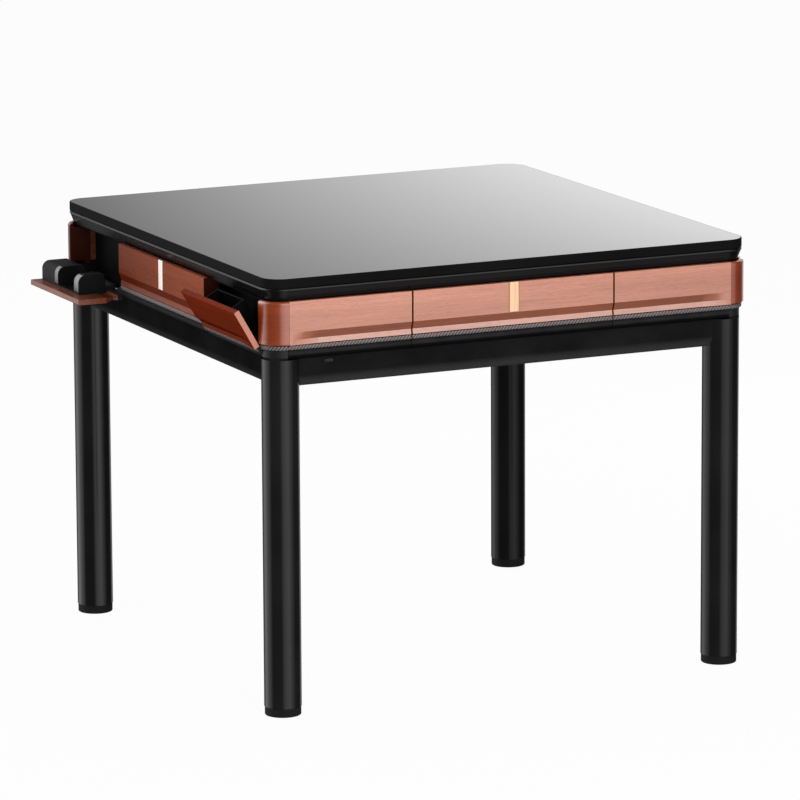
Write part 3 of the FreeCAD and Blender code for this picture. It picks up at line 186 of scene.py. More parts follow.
def mixed(tree, factor, first, second, blend="MIX"):
    """Mix two colours, each a tuple or a socket; factor is a number or a socket."""
    node = add_node(tree, "ShaderNodeMix", data_type="RGBA", blend_type=blend)
    if isinstance(factor, float):
        node.inputs[0].default_value = factor
    else:
        tree.links.new(factor, node.inputs[0])
    for socket, value in ((node.inputs[6], first), (node.inputs[7], second)):
        if isinstance(value, tuple):
            socket.default_value = (*value, 1.0)
        else:
            tree.links.new(value, socket)
    return node.outputs[2]


def multiplied(tree, first, second):
    return mixed(tree, 1.0, first, second, "MULTIPLY")


def blended(tree, factor, first, second):
    """Mix two shader sockets; factor is a socket."""
    node = tree.nodes.new("ShaderNodeMixShader")
    for socket, value in zip(node.inputs, (factor, first, second)):
        tree.links.new(value, socket)
    return node.outputs[0]


def bumped(tree, shader, height, strength, distance):
    node = tree.nodes.new("ShaderNodeBump")
    node.inputs["Strength"].default_value = strength
    node.inputs["Distance"].default_value = distance
    tree.links.new(height, node.inputs["Height"])
    tree.links.new(node.outputs["Normal"], shader.inputs["Normal"])


def grey(level):
    return (level, level, level)


def tinted(colour, tint):
    return tuple(channel * share for channel, share in zip(colour, tint))


def varied(tree, value, colour, low, high, stops=(0.35, 0.65)):
    """The colour times low to high, as a noise value passes from one stop to the other."""
    return ramp(tree, value, [(stops[0], tinted(colour, grey(low))), (stops[1], tinted(colour, grey(high)))])


# ---------------------------------------------------------------- veneer

WHITE = grey(1.0)
WIDE_STOPS = (0.3, 0.7)

WOOD = (0.450, 0.141, 0.066)
WOOD_POST = (0.275, 0.044, 0.009)
# painted shade: the next three are darker copies of the veneer, for pieces that stand open facing the floor
# and for the left side, which gets less light
WOOD_SHADED = (0.200, 0.020, 0.0025)
WOOD_LEFT_SHADE = (0.365, 0.085, 0.036)
WOOD_FLAP_SHADE = (0.230, 0.066, 0.032)
# painted light: a paler copy of the veneer for the door's cut ends, which face the lamp
WOOD_END_LIT = (0.600, 0.260, 0.190)
# painted shade: near-black veneer for hidden ends and backs, and for the left middle panel's end beside the
# open flap
WOOD_PAINTED_SHADE = (0.055, 0.011, 0.006)
JOINT_DARK = (0.070, 0.014, 0.006)
RAIL_DARK = (0.005, 0.005, 0.0055)
# painted highlight: the paler black of the barrel's upper half
RAIL_HIGHLIGHT = (0.020, 0.0195, 0.021)
# tints of the veneer's colour that paint shade in the long hollow, a highlight on the lip and light along the
# top
SCOOP_SHADE = (0.550, 0.355, 0.150)
LIP_HIGHLIGHT = (1.16, 1.74, 2.75)
TOP_LIGHT = (1.14, 1.18, 1.26)

# heights above the hinge line
LIP_BOTTOM = FASCIA_BOTTOM - PIVOT_HEIGHT
LIP_TOP = LIP_BOTTOM + 0.0092
SCOOP_TOP = LIP_TOP + 0.0137
# painted light along the top of the veneer sets in over these heights
PALE_FROM = 0.070
PALE_TO = 0.080
# the bare black below the veneer turns paler above the hinge line as a painted highlight, setting in over
# these heights
RAIL_DARK_TO = -0.003
RAIL_PALE_FROM = 0.000
EDGE_SLACK = 0.0002         # keeps the veneer's own lower face out of the black

# distances from the middle of the side
SCOOP_FULL_TO = 0.380
SCOOP_ENDS_AT = 0.430
JOINT_HALF = 0.0017         # to each side of a joint

# part of a normal along an axis: above TURNED a face is turned that way, below OUTWARD it is hidden
TURNED = 0.7
OUTWARD = 0.3

LACQUER = {"Roughness": 0.30, "Specular_IOR_Level": 0.8, "Coat_Weight": 1.0, "Coat_Roughness": 0.16}
MATT = {"Coat_Weight": 0.0, "Specular_IOR_Level": 0.02}
BARE_BLACK = {"Roughness": 0.5, "Specular_IOR_Level": 0.02}
BLACK_DRIFT = 35.0          # scale of the noise in the bare black

THREADS = (22.0, 22.0, 1500.0)
THREAD_ROUGHNESS = (0.24, 0.38)
THREAD_BUMP = 0.08
BUMP_DEPTH = 0.0003
# scale, detail, roughness, distortion, darkest and lightest tint of each layer of grain
GRAIN_LAYERS = (
    ((2.4, 2.4, 26.0), 4.0, 0.55, 0.8, (0.88, 0.80, 0.76), (1.07, 1.12, 1.15)),
    ((7.0, 7.0, 190.0), 4.0, 0.6, 0.5, (0.90, 0.84, 0.80), (1.05, 1.08, 1.10)),
    (THREADS, 4.0, 0.65, 0.0, (0.84, 0.78, 0.74), (1.10, 1.14, 1.16)),
    ((75.0, 75.0, 480.0), 4.0, 0.65, 0.4, (0.83, 0.79, 0.76), (1.08, 1.10, 1.11)),
)


def from_middle(tree, vector):
    """Distance along the fascia from the middle of its side."""
    x, y, _ = axis_parts(tree, vector)
    return calculated(tree, "MINIMUM", calculated(tree, "ABSOLUTE", x), calculated(tree, "ABSOLUTE", y))


def left_or_right(tree, x, y):
    """1 on the left and right sides of the table, 0 on its front and back."""
    return calculated(tree, "GREATER_THAN", calculated(tree, "ABSOLUTE", x), calculated(tree, "ABSOLUTE", y))


def hidden_faces(tree):
    """1 on the ends and the back of a fixed fascia piece, 0 on what faces outward, up or down."""
    x, y, _ = axis_parts(tree, object_coordinates(tree))
    nx, ny, nz = axis_parts(tree, object_normal(tree))
    along_x = calculated(tree, "MULTIPLY", nx, calculated(tree, "SIGN", x))
    along_y = calculated(tree, "MULTIPLY", ny, calculated(tree, "SIGN", y))
    swap = calculated(tree, "MULTIPLY", left_or_right(tree, x, y),
                      calculated(tree, "SUBTRACT", along_x, along_y))
    outward = calculated(tree, "ADD", along_y, swap)
    upright = calculated(tree, "LESS_THAN", calculated(tree, "ABSOLUTE", nz), TURNED)
    return calculated(tree, "MULTIPLY", upright, calculated(tree, "LESS_THAN", outward, OUTWARD))


def end_faces(tree):
    """1 on the two ends of a panel, which face along its side of the table."""
    x, y, _ = axis_parts(tree, object_coordinates(tree))
    nx, ny, _ = axis_parts(tree, object_normal(tree))
    across = left_or_right(tree, x, y)
    on_sides = calculated(tree, "MULTIPLY", calculated(tree, "ABSOLUTE", ny), across)
    elsewhere = calculated(tree, "MULTIPLY", calculated(tree, "ABSOLUTE", nx),
                           calculated(tree, "SUBTRACT", 1.0, across))
    return calculated(tree, "GREATER_THAN", calculated(tree, "ADD", on_sides, elsewhere), TURNED)


def fascia_colour(tree, shut, colour, shaped):
    """Veneer colour with painted light, paler, along the top; on a shaped piece also painted shade, darker,
    in the long hollow and a painted highlight, paler, on the lip below it."""
    z = axis_parts(tree, shut)[2]
    # painted light: the veneer is paler along the top
    pale = mixed(tree, remapped(tree, z, 0.0, 1.0, PALE_FROM, PALE_TO), colour, tinted(colour, TOP_LIGHT))
    if not shaped:
        return pale
    kept = remapped(tree, from_middle(tree, shut), 1.0, 0.0, SCOOP_FULL_TO, SCOOP_ENDS_AT)
    hollow = calculated(tree, "MULTIPLY", between(tree, z, LIP_TOP, SCOOP_TOP), kept)
    lip = calculated(tree, "MULTIPLY", between(tree, z, LIP_BOTTOM, LIP_TOP), kept)
    # painted shade: the long hollow is darker
    hollow_shaded = mixed(tree, hollow, pale, tinted(colour, SCOOP_SHADE))
    # painted highlight: the lip is paler and whiter
    return mixed(tree, lip, hollow_shaded, tinted(colour, LIP_HIGHLIGHT))


def grain_tone(tree, shut, contrast):
    """Very fine level grain over slow bands of tone, as a colour to multiply by."""
    tones = []
    for scale, detail, roughness, distortion, low, high in GRAIN_LAYERS:
        dark = tuple(1.0 - contrast * (1.0 - channel) for channel in low)
        light = tuple(1.0 + contrast * (channel - 1.0) for channel in high)
        value = noise(tree, stretched(tree, shut, scale), 1.0, detail, roughness, distortion)
        tones.append(ramp(tree, value, [(WIDE_STOPS[0], dark), (0.5, WHITE), (WIDE_STOPS[1], light)]))
    return multiplied(tree, multiplied(tree, tones[0], tones[1]), multiplied(tree, tones[2], tones[3]))


def joint_lines(tree, shut):
    """1 on the outer face beside the two joints of a side."""
    z = axis_parts(tree, shut)[2]
    line = between(tree, from_middle(tree, shut), PANEL_JOINT - JOINT_HALF, PANEL_JOINT + JOINT_HALF)
    outer = calculated(tree, "GREATER_THAN", z, LIP_BOTTOM)
    return calculated(tree, "MULTIPLY", calculated(tree, "MULTIPLY", line, outer),
                      calculated(tree, "SUBTRACT", 1.0, end_faces(tree)))


def over_black(tree, shader, shut):
    """The veneer's shader over bare black: below the fascia's lower edge the piece is bare moulding
    (barrel, web and rail), and beside the joints the veneer's edges are dark and matt."""
    z = axis_parts(tree, shut)[2]
    joint = joint_lines(tree, shut)
    # painted highlight: the bare black is paler above the hinge line
    rail = mixed(tree, remapped(tree, z, 0.0, 1.0, RAIL_DARK_TO, RAIL_PALE_FROM), RAIL_DARK, RAIL_HIGHLIGHT)
    tone = varied(tree, noise(tree, shut, BLACK_DRIFT), WHITE, 0.8, 1.2, WIDE_STOPS)
    black = shader_node(tree, **BARE_BLACK)
    tree.links.new(multiplied(tree, mixed(tree, joint, rail, JOINT_DARK), tone), black.inputs["Base Color"])
    below = calculated(tree, "LESS_THAN", z, LIP_BOTTOM - EDGE_SLACK)
    return blended(tree, calculated(tree, "MAXIMUM", below, joint), shader.outputs["BSDF"],
                   black.outputs["BSDF"])


def opened_share(tree, swing):
    """1 where a piece made open by swing stands open, 0 once it has swung shut."""
    turn = add_node(tree, "ShaderNodeVectorTransform", vector_type="NORMAL", convert_from="OBJECT",
                    convert_to="WORLD")
    turn.inputs["Vector"].default_value = (0.0, 0.0, 1.0)
    upright = axis_parts(tree, turn.outputs["Vector"])[2]
    return remapped(tree, upright, 0.0, 1.0, math.cos(swing), 1.0)


def brushed_wood(name, colour, swing=0.0, contrast=1.0, shaped=True, fixed=False, fade=None, ends=None,
                 shut_colour=None, **sockets):
    """Rose-copper veneer under lacquer; fade is (y to be darkest at, y to be plain at, share) of painted
    shade, ends the colour of the cut ends, paler as painted light, shut_colour the veneer of an opening piece
    that doesn't face the floor, while colour, for it standing open towards the floor, is darker as painted
    shade; fixed pieces get painted shade on hidden faces."""
    material, tree = new_material(name)
    shader = shader_node(tree, **{**LACQUER, **sockets})
    shut = shut_coordinates(tree, swing)
    threads = noise(tree, stretched(tree, shut, THREADS), 1.0, 4.0, 0.65)
    veneer = fascia_colour(tree, shut, colour, shaped)
    # painted shade: while the piece stands open facing the floor it takes the darker colour, and once shut it
    # takes its shut colour
    if shut_colour:
        swung_shut = fascia_colour(tree, shut, shut_colour, shaped)
        veneer = mixed(tree, opened_share(tree, swing), swung_shut, veneer)
    colours = multiplied(tree, veneer, grain_tone(tree, shut, contrast))
    # painted shade: the panel grows darker towards one end, where the open flap shades it
    if fade:
        darkest, plain, share = fade
        shade = remapped(tree, axis_parts(tree, shut)[1], 1.0, 0.0, darkest, plain)
        colours = mixed(tree, calculated(tree, "MULTIPLY", shade, share), colours, WOOD_PAINTED_SHADE)
    # painted light: the cut ends take their paler colour
    if ends:
        colours = mixed(tree, end_faces(tree), colours, ends)
    # painted shade on the hidden ends and back of fixed pieces
    if fixed:
        colours = mixed(tree, hidden_faces(tree), colours, WOOD_PAINTED_SHADE)
    tree.links.new(colours, shader.inputs["Base Color"])
    tree.links.new(remapped(tree, threads, *THREAD_ROUGHNESS), shader.inputs["Roughness"])
    bumped(tree, shader, threads, THREAD_BUMP, BUMP_DEPTH)
    set_surface(tree, over_black(tree, shader, shut))
    return material


# ---------------------------------------------------------------- other materials

# scales of the noises in object space, in repeats a metre
GLOSS_DRIFT = 6.0
COAT_DRIFT = 9.0
CLOTH_MOTTLE = 45.0
CLOTH_FIBRE = 1400.0
DOME_HAZE = 60.0
STRIP_LINES = (300.0, 300.0, 8.0)
# strengths and depths of the bumps
PEEL_BUMP = 0.03
METAL_BUMP = 0.1
METAL_DEPTH = 0.0002
NAP_BUMP = 0.5
NAP_DEPTH = 0.0006

ROPE_RIDGE = "rope_ridge"
# painted shade in the grooves and painted highlight on the ridges:
ROPE_LIGHT_AND_SHADE = (0.5, 1.8)    # of the metal's tone, in a groove and on a ridge

# upward part of the normal at which the underside's colour, a painted reflection of the floor, is full and at
# which it ends
UNDERSIDE_FROM = -0.9
UNDERSIDE_TO = -0.05

STRIP_GOLD = (0.78, 0.51, 0.32)
# painted light: the strip's paler colour on the left side
STRIP_LEFT_LIT = (1.00, 0.92, 0.86)
STRIP_EDGE = (0.24, 0.075, 0.030)
STRIP_EDGE_SHARE = 0.8
STRIP_STREAK = (0.70, 0.58, 0.48)
STRIP_PLAIN = 0.0088        # from the strip's middle to its darker edges


def black_gloss(name, colour, rough, speckle=160.0, **sockets):
    """Black lacquer or polished moulding with a faint orange peel."""
    material, tree = new_material(name)
    shader = principled(tree, Roughness=rough, **sockets)
    vector = object_coordinates(tree)
    peel = noise(tree, vector, speckle, 2.0)
    drift = noise(tree, vector, GLOSS_DRIFT, 2.0)
    tree.links.new(varied(tree, drift, colour, 0.8, 1.25), shader.inputs["Base Color"])
    tree.links.new(remapped(tree, drift, 0.85 * rough, 1.2 * rough), shader.inputs["Roughness"])
    bumped(tree, shader, peel, PEEL_BUMP, BUMP_DEPTH)
    return material


def textured(name, colour, rough, grain=900.0, depth=0.25, contrast=0.25, underside=None, **sockets):
    """Fine-grained moulding, powder coat or rubber; underside is the colour that faces turned down take, a
    painted reflection of the floor.
    """
    material, tree = new_material(name)
    shader = principled(tree, Roughness=rough, **sockets)
    vector = object_coordinates(tree)
    fine = noise(tree, vector, grain)
    tone = varied(tree, noise(tree, vector, COAT_DRIFT), colour, 1.0 - contrast, 1.0 + contrast)
    # painted reflection: faces turned down take the paler underside colour
    if underside:
        nz = axis_parts(tree, object_normal(tree))[2]
        tone = mixed(tree, remapped(tree, nz, 1.0, 0.0, UNDERSIDE_FROM, UNDERSIDE_TO), tone, underside)
    tree.links.new(multiplied(tree, tone, varied(tree, fine, WHITE, 0.86, 1.12)), shader.inputs["Base Color"])
    tree.links.new(remapped(tree, fine, 0.9 * rough, min(1.0, 1.12 * rough)), shader.inputs["Roughness"])
    bumped(tree, shader, fine, depth, BUMP_DEPTH)
    return material


def brushed_metal(name, colour, rough, stretch=(6.0, 6.0, 700.0), metallic=1.0, grooves=None):
    """Metal with fine lines; grooves names a mesh attribute that is 0 in grooves and 1 on ridges, which gives
    painted shade in the grooves and a painted highlight on the ridges.
    """
    material, tree = new_material(name)
    shader = principled(tree, Roughness=rough, Metallic=metallic)
    lines = noise(tree, stretched(tree, object_coordinates(tree), stretch), 1.0, 4.0, 0.65)
    tone = varied(tree, lines, colour, 0.8, 1.0, (0.3, 0.6))
    if grooves:
        ridge = add_node(tree, "ShaderNodeAttribute", attribute_name=grooves).outputs["Fac"]
        # painted shade in the grooves, painted highlight on the ridges
        tone = multiplied(tree, tone, varied(tree, ridge, WHITE, *ROPE_LIGHT_AND_SHADE, WIDE_STOPS))
    tree.links.new(tone, shader.inputs["Base Color"])
    tree.links.new(remapped(tree, lines, 0.8 * rough, 1.25 * rough), shader.inputs["Roughness"])
    bumped(tree, shader, lines, METAL_BUMP, METAL_DEPTH)
    return material


def champagne_strip(name):
    """Polished strip with upright streaks and darker brownish edges, paler on the left side as painted light.
    """
    material, tree = new_material(name)
    shader = principled(tree, Roughness=0.34, Metallic=0.75)
    place = object_coordinates(tree)
    lines = noise(tree, stretched(tree, place, STRIP_LINES), 1.0, 3.0, 0.6)
    streaks = ramp(tree, lines, [(0.30, STRIP_STREAK), (0.52, WHITE)])
    # painted light: the strip is paler on the left side
    on_left = calculated(tree, "LESS_THAN", axis_parts(tree, place)[0], -CORNER_AXIS)
    plain = multiplied(tree, mixed(tree, on_left, STRIP_GOLD, STRIP_LEFT_LIT), streaks)
    edge = calculated(tree, "GREATER_THAN", from_middle(tree, place), STRIP_PLAIN)
    tree.links.new(mixed(tree, calculated(tree, "MULTIPLY", edge, STRIP_EDGE_SHARE), plain, STRIP_EDGE),
                   shader.inputs["Base Color"])
    bumped(tree, shader, lines, METAL_BUMP, METAL_DEPTH)
    return material


def felt(name, colour):
    """Playing cloth with a short nap."""
    material, tree = new_material(name)
    shader = principled(tree, Roughness=0.95, Sheen_Weight=0.4, Sheen_Roughness=0.5)
    vector = object_coordinates(tree)
    fibre = noise(tree, vector, CLOTH_FIBRE, 4.0, 0.7)
    mottled = varied(tree, noise(tree, vector, CLOTH_MOTTLE, 4.0, 0.6), colour, 0.7, 1.3, WIDE_STOPS)
    hairs = varied(tree, fibre, WHITE, 0.7, 1.25, WIDE_STOPS)
    tree.links.new(multiplied(tree, mottled, hairs), shader.inputs["Base Color"])
    bumped(tree, shader, fibre, NAP_BUMP, NAP_DEPTH)
    return material


def clear_plastic(name):
    material, tree = new_material(name)
    shader = principled(tree, Roughness=0.05, IOR=1.49, Transmission_Weight=1.0)
    haze = noise(tree, object_coordinates(tree), DOME_HAZE, 2.0)
    tone = ramp(tree, haze, [(WIDE_STOPS[0], (0.88, 0.92, 0.93)), (WIDE_STOPS[1], (0.94, 0.97, 0.98))])
    tree.links.new(tone, shader.inputs["Base Color"])
    return material


# ---------------------------------------------------------------- finishes of the nodes

# finish of each material slot in the record
MATERIALS = {
    "cover_lacquer": black_gloss("cover_lacquer_black", (0.010, 0.010, 0.011), 0.10, Coat_Weight=0.9,
                                 Coat_Roughness=0.03),
    "edge_band": black_gloss("edge_band_black", (0.0060, 0.0060, 0.0064), 0.5, Specular_IOR_Level=0.02),
    "rim_black": black_gloss("rim_satin_black", (0.004, 0.004, 0.0044), 0.25, Specular_IOR_Level=0.28),
    "rosewood": brushed_wood("rose_copper_veneer", WOOD),
    "bright_strip": champagne_strip("champagne_strip"),
    "black_moulding": textured("grained_black_moulding", (0.010, 0.010, 0.0105), 0.45,
                               Specular_IOR_Level=0.25),
    # its underside colour is a painted reflection of the pale floor
    "black_paint": textured("black_powder_coat", (0.0115, 0.0115, 0.0119), 0.38, 700.0, 0.10,
                            underside=(0.060, 0.060, 0.062), Specular_IOR_Level=0.0),
    "black_rubber": textured("matt_black_rubber", (0.008, 0.008, 0.008), 0.75, 500.0, 0.35,
                             Specular_IOR_Level=0.2),
    "pin_steel": brushed_metal("ground_steel", (0.58, 0.58, 0.60), 0.30),
    "board": textured("bare_board", (0.42, 0.30, 0.19), 0.80, 350.0, 0.4),
    "cloth": felt("green_cloth", (0.020, 0.110, 0.070)),
    "cream_moulding": textured("cream_moulding_grain", (0.60, 0.57, 0.50), 0.50, 600.0, 0.15, contrast=0.06),
    "dial_moulding": black_gloss("dial_polished", (0.012, 0.0125, 0.014), 0.18, Coat_Weight=0.4,
                                 Coat_Roughness=0.05),
    "clear_dome": clear_plastic("clear_dome_plastic"),
    "dice_white": textured("dice_polished", (0.72, 0.70, 0.64), 0.25, 300.0, 0.05, contrast=0.05),
    "button_red": textured("button_red_plastic", (0.42, 0.02, 0.015), 0.30, 400.0, 0.05, contrast=0.08),
    "pulley_alloy": brushed_metal("turned_alloy", (0.68, 0.68, 0.70), 0.30),
    "zinc_steel": brushed_metal("zinc_plated", (0.55, 0.57, 0.58), 0.38),
}

# darkest and plain end of the left middle panel, shaded by the folded-out flap, and how much
LEFT_FADE = (0.19, -0.19, 0.6)
# nodes whose finish isn't just their slot's
SPECIAL = {
    # the left side's veneers carry painted shade: darker than the other sides, and darker still on the door
    # and flap while they stand open facing the floor
    "chip_door_left": brushed_wood("rose_copper_veneer_door", WOOD_SHADED, DOOR_OPEN, ends=WOOD_END_LIT,
                                   shut_colour=WOOD_LEFT_SHADE, **MATT),
    "cup_flap_left": brushed_wood("rose_copper_veneer_flap", WOOD_FLAP_SHADE, FLAP_OPEN, shut_colour=WOOD_LEFT_SHADE,
                                  Coat_Weight=0.3, Specular_IOR_Level=0.3),
    "corner_posts": brushed_wood("rose_copper_post", WOOD_POST, contrast=1.2, shaped=False, fixed=True,
                                 Metallic=0.15, Coat_Weight=1.0, Coat_Roughness=0.10),
    "middle_panel_left": brushed_wood("rose_copper_veneer_left", WOOD_LEFT_SHADE, fixed=True, fade=LEFT_FADE,
                                      **MATT),
    "compartment_liners": textured("liner_black", (0.003, 0.003, 0.0031), 0.5, Specular_IOR_Level=0.02),
}
VENEER_FIXED = brushed_wood("rose_copper_veneer_fixed", WOOD, fixed=True)
for side in SIDE_TURNS:
    SPECIAL["cup_cradle_" + side] = textured("cradle_black_" + side, (0.008, 0.008, 0.0083), 0.5,
                                             Specular_IOR_Level=0.1)
    SPECIAL["chip_tray_" + side] = textured("tray_black_" + side, (0.004, 0.004, 0.0042), 0.5,
                                            Specular_IOR_Level=0.05)
    SPECIAL.setdefault("middle_panel_" + side, VENEER_FIXED)
# painted shade: each leg has its own copy of the black, duller on some legs to stand in for how each is lit
LEG_SHADING_SHINE = {"leg_front_left": 0.26, "leg_front_right": 0.20, "leg_back_left": 0.30, "leg_back_right": 0.12}
for leg, shine in LEG_SHADING_SHINE.items():
    SPECIAL[leg] = black_gloss(leg + "_black", (0.010, 0.010, 0.0105), 0.17, 120.0, Specular_IOR_Level=shine)
# finishes of the pieces made below
ROPE_METAL = brushed_metal("rope_band_metal", (0.130, 0.104, 0.102), 0.5, (500.0, 500.0, 500.0), 0.25,
                           ROPE_RIDGE)
PAD_GREY = textured("cradle_pad_grey", (0.38, 0.38, 0.39), 0.45, 500.0, 0.3)


def dress_nodes():
    """Every carried-over part gets its own finish or that of its slot in the record."""
    slots = {part["node"]: part["material_slot"] for part in frame["record"]["subparts"]}
    for name, node in NODES.items():
        node.data.materials.clear()
        node.data.materials.append(SPECIAL.get(name) or MATERIALS[slots[name]])


dress_nodes()


# ---------------------------------------------------------------- pieces

def side_matrix(side, swing=0.0):
    """From a shut front panel's place to the same panel on another side, swung open by swing."""
    turn = Matrix.Rotation(math.radians(SIDE_TURNS[side]), 4, "Z")
    hinge = Matrix.Translation((0.0, -PIVOT_OUT, PIVOT_HEIGHT))
    return turn @ hinge @ Matrix.Rotation(swing, 4, "X") @ hinge.inverted()


def mesh_piece(name, vertices, faces, material, body):
    """Smooth piece with its faces turned outward, riding on a body."""
    mesh = bpy.data.meshes.new(name)
    mesh.from_pydata(vertices, [], faces)
    mesh.update()
    shell = bmesh.new()
    shell.from_mesh(mesh)
    bmesh.ops.recalc_face_normals(shell, faces=shell.faces)
    shell.to_mesh(mesh)
    shell.free()
    for polygon in mesh.polygons:
        polygon.use_smooth = True
    piece = bpy.data.objects.new(name, mesh)
    bpy.context.scene.collection.objects.link(piece)
    piece.data.materials.append(material)
    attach(piece, body)
    return piece


def closed_tube(rings, size):
    """Faces of a closed tube through rings of size points each, capped at both ends."""
    faces = []
    for ring in range(rings - 1):
        for i in range(size):
            a = ring * size + i
            b = ring * size + (i + 1) % size
            faces.append((a, b, b + size, a + size))
    last = (rings - 1) * size
    faces.append(tuple(range(size)))
    faces.append(tuple(range(last, last + size)))
    return faces


def panel_motion(kind, side):
    """(body, swing at rest) of one kind of panel on one side."""
    if kind == "middle_panel":
        return "table", 0.0
    swing = 0.0
    if side == "left":
        swing = DOOR_OPEN if kind == "chip_door" else FLAP_OPEN
    return kind + "_" + side + "_body", swing


# ---- rope band ----
ROPE_PITCH = 6.4 * MM       # from ridge to ridge along the band
ROPE_LEAN = 0.85            # along the band for each unit up
ROPE_RISE = 1.0 * MM
ROPE_BASE = 0.15 * MM
ROPE_STEP = 0.9 * MM
ROPE_ROWS = 7
RIDGE_POWER = 0.7
CROWN_POWER = 0.4
ROPE_GAP = 0.3 * MM         # between a corner's band and its neighbours
# stretch of each kind of panel along a shut side
PANEL_SPANS = {
    "middle_panel": (-198.1 * MM, 198.1 * MM),
    "chip_door": (199.9 * MM, 436.5 * MM),
    "cup_flap": (-436.5 * MM, -199.9 * MM),
}


def straight_place(u, out, height):
    return Vector((u, -out, height))


def corner_place(u, out, height):
    """Round the corner at the right of the front; u runs along the band's face."""
    radius = BAND_OUT - CORNER_AXIS
    angle = u / radius
    reach = out - CORNER_AXIS
    return Vector((CORNER_AXIS + reach * math.sin(angle), -CORNER_AXIS - reach * math.cos(angle), height))


def rope_lift(row, phase):
    """How far a point of the rope stands out of the band's face; the first and last rows are sunk."""
    if row in (0, ROPE_ROWS - 1):
        return -ROPE_BASE
    crown = math.sin(math.pi * (row / (ROPE_ROWS - 1)))
    ridge = abs(math.sin(phase / 2.0)) ** RIDGE_POWER
    return ROPE_BASE + ROPE_RISE * crown ** CROWN_POWER * ridge


def rope_band(name, u_range, place, matrix, body):
    """Twisted-rope moulding: leaning ridges across a crowned strip, closed behind."""
    start, end = u_range
    columns = max(2, int((end - start) / ROPE_STEP))
    vertices, ridges = [], []
    for column in range(columns + 1):
        u = start + (end - start) * column / columns
        for row in range(ROPE_ROWS):
            height = BAND_LOW + (BAND_HIGH - BAND_LOW) * (row / (ROPE_ROWS - 1))
            phase = 2.0 * math.pi * (u - ROPE_LEAN * (height - BAND_LOW)) / ROPE_PITCH
            ridges.append(0.5 - 0.5 * math.cos(phase))
            vertices.append(matrix @ place(u, BAND_OUT + rope_lift(row, phase), height))
    piece = mesh_piece(name, vertices, closed_tube(columns + 1, ROPE_ROWS), ROPE_METAL, body)
    piece.data.attributes.new(ROPE_RIDGE, "FLOAT", "POINT").data.foreach_set("value", ridges)


def add_rope_bands():
    quarter = (BAND_OUT - CORNER_AXIS) * math.pi / 2.0
    for side in SIDE_TURNS:
        for kind, span in PANEL_SPANS.items():
            body, swing = panel_motion(kind, side)
            rope_band("rope_band_" + kind + "_" + side, span, straight_place, side_matrix(side, swing), body)
        rope_band("rope_band_corner_" + side, (ROPE_GAP, quarter - ROPE_GAP), corner_place,
                  side_matrix(side), "table")


# ---- pads of the cup cradles ----
CRADLE_END = 75.0 * MM
CRADLE_HEIGHT = 36.0 * MM
CRADLE_END_ROUND = 15.0 * MM
PAD_SPANS = ((-365.0 * MM, -350.2 * MM), (-269.8 * MM, -250.0 * MM))
PAD_START = 5.0 * MM
PAD_TURN = 70.0
PAD_SKIN = 0.35 * MM
PAD_BURIED = 0.4 * MM
PAD_STEPS = 8


def pad_line(offset):
    """Outer end of a cradle wing, from near the flap up and over the round, (height over the
    flap, distance from the hinge)."""
    straight_to = CRADLE_HEIGHT - CRADLE_END_ROUND
    line = [(PAD_START, CRADLE_END + offset), (straight_to, CRADLE_END + offset)]
    for step in range(1, PAD_STEPS + 1):
        angle = math.radians(PAD_TURN * step / PAD_STEPS)
        radius = CRADLE_END_ROUND + offset
        line.append((straight_to + radius * math.sin(angle),
                     CRADLE_END - CRADLE_END_ROUND + radius * math.cos(angle)))
    return line


def add_cradle_pads():
    """Grey pads on the ends of the cup cradle's two wings, beside its mouth."""
    outline = pad_line(PAD_SKIN) + pad_line(-PAD_BURIED)[::-1]
    for side in SIDE_TURNS:
        body, swing = panel_motion("cup_flap", side)
        matrix = side_matrix(side, swing)
        for number, span in enumerate(PAD_SPANS):
            vertices = [matrix @ Vector((u, -(FASCIA_INNER - height), PIVOT_HEIGHT + along))
                        for u in span for height, along in outline]
            piece = mesh_piece("cradle_pad_%s_%d" % (side, number), vertices, closed_tube(2, len(outline)),
                               PAD_GREY, body)


add_rope_bands()
add_cradle_pads()


# ---------------------------------------------------------------- studio

def place_camera():
    camera = bpy.data.cameras.new("camera")
    camera.sensor_width = SENSOR_MM
    camera.lens = FOCAL_PIXELS / IMAGE_PIXELS * SENSOR_MM
    camera.clip_end = CAMERA_REACH
    holder = bpy.data.objects.new("camera", camera)
    axes = Matrix((CAMERA_RIGHT, CAMERA_UP, -CAMERA_AHEAD)).transposed()
    holder.matrix_world = Matrix.Translation(CAMERA_PLACE) @ axes.to_4x4()
    bpy.context.scene.collection.objects.link(holder)
    bpy.context.scene.camera = holder


# ---- world: what the camera sees, what lights the table and what it mirrors ----
WORLD_GREY = 0.8            # colour that the world's strengths are multiplied by
WORLD_SEEN = 0.983          # radiance that the camera sees
WORLD_SOFT = 0.36           # strength that lights the table
# what mirrors see, by the angle from the front (-Y) towards the left (-X), in degrees
MIRRORED_ROUND = [
    (-180, 0.10), (-158, 0.05), (-140, 0.05), (-128, 1.1), (-118, 1.1), (-108, 0.05), (-58, 0.05),
    (-48, 0.8), (-36, 1.3), (-22, 2.7), (0, 2.2), (14, 1.5), (26, 0.06), (86, 0.06), (100, 1.5),
    (120, 2.2), (138, 2.9), (156, 1.4), (168, 0.3), (180, 0.10),
]
MIRRORED_MOST = 3.0
# share of it kept, by the upward part of the direction
MIRRORED_UP = [
    (-1.0, 0.4), (-0.60, 0.4), (-0.45, 0.2), (-0.32, 0.95), (0.30, 1.0), (0.42, 1.9), (0.62, 1.9),
    (0.85, 0.15), (1.0, 0.30),
]
# over this stretch of the upward part, reflections stop depending on the angle
OVERHEAD = (0.60, 0.92)
OVERHEAD_LEVEL = 0.9
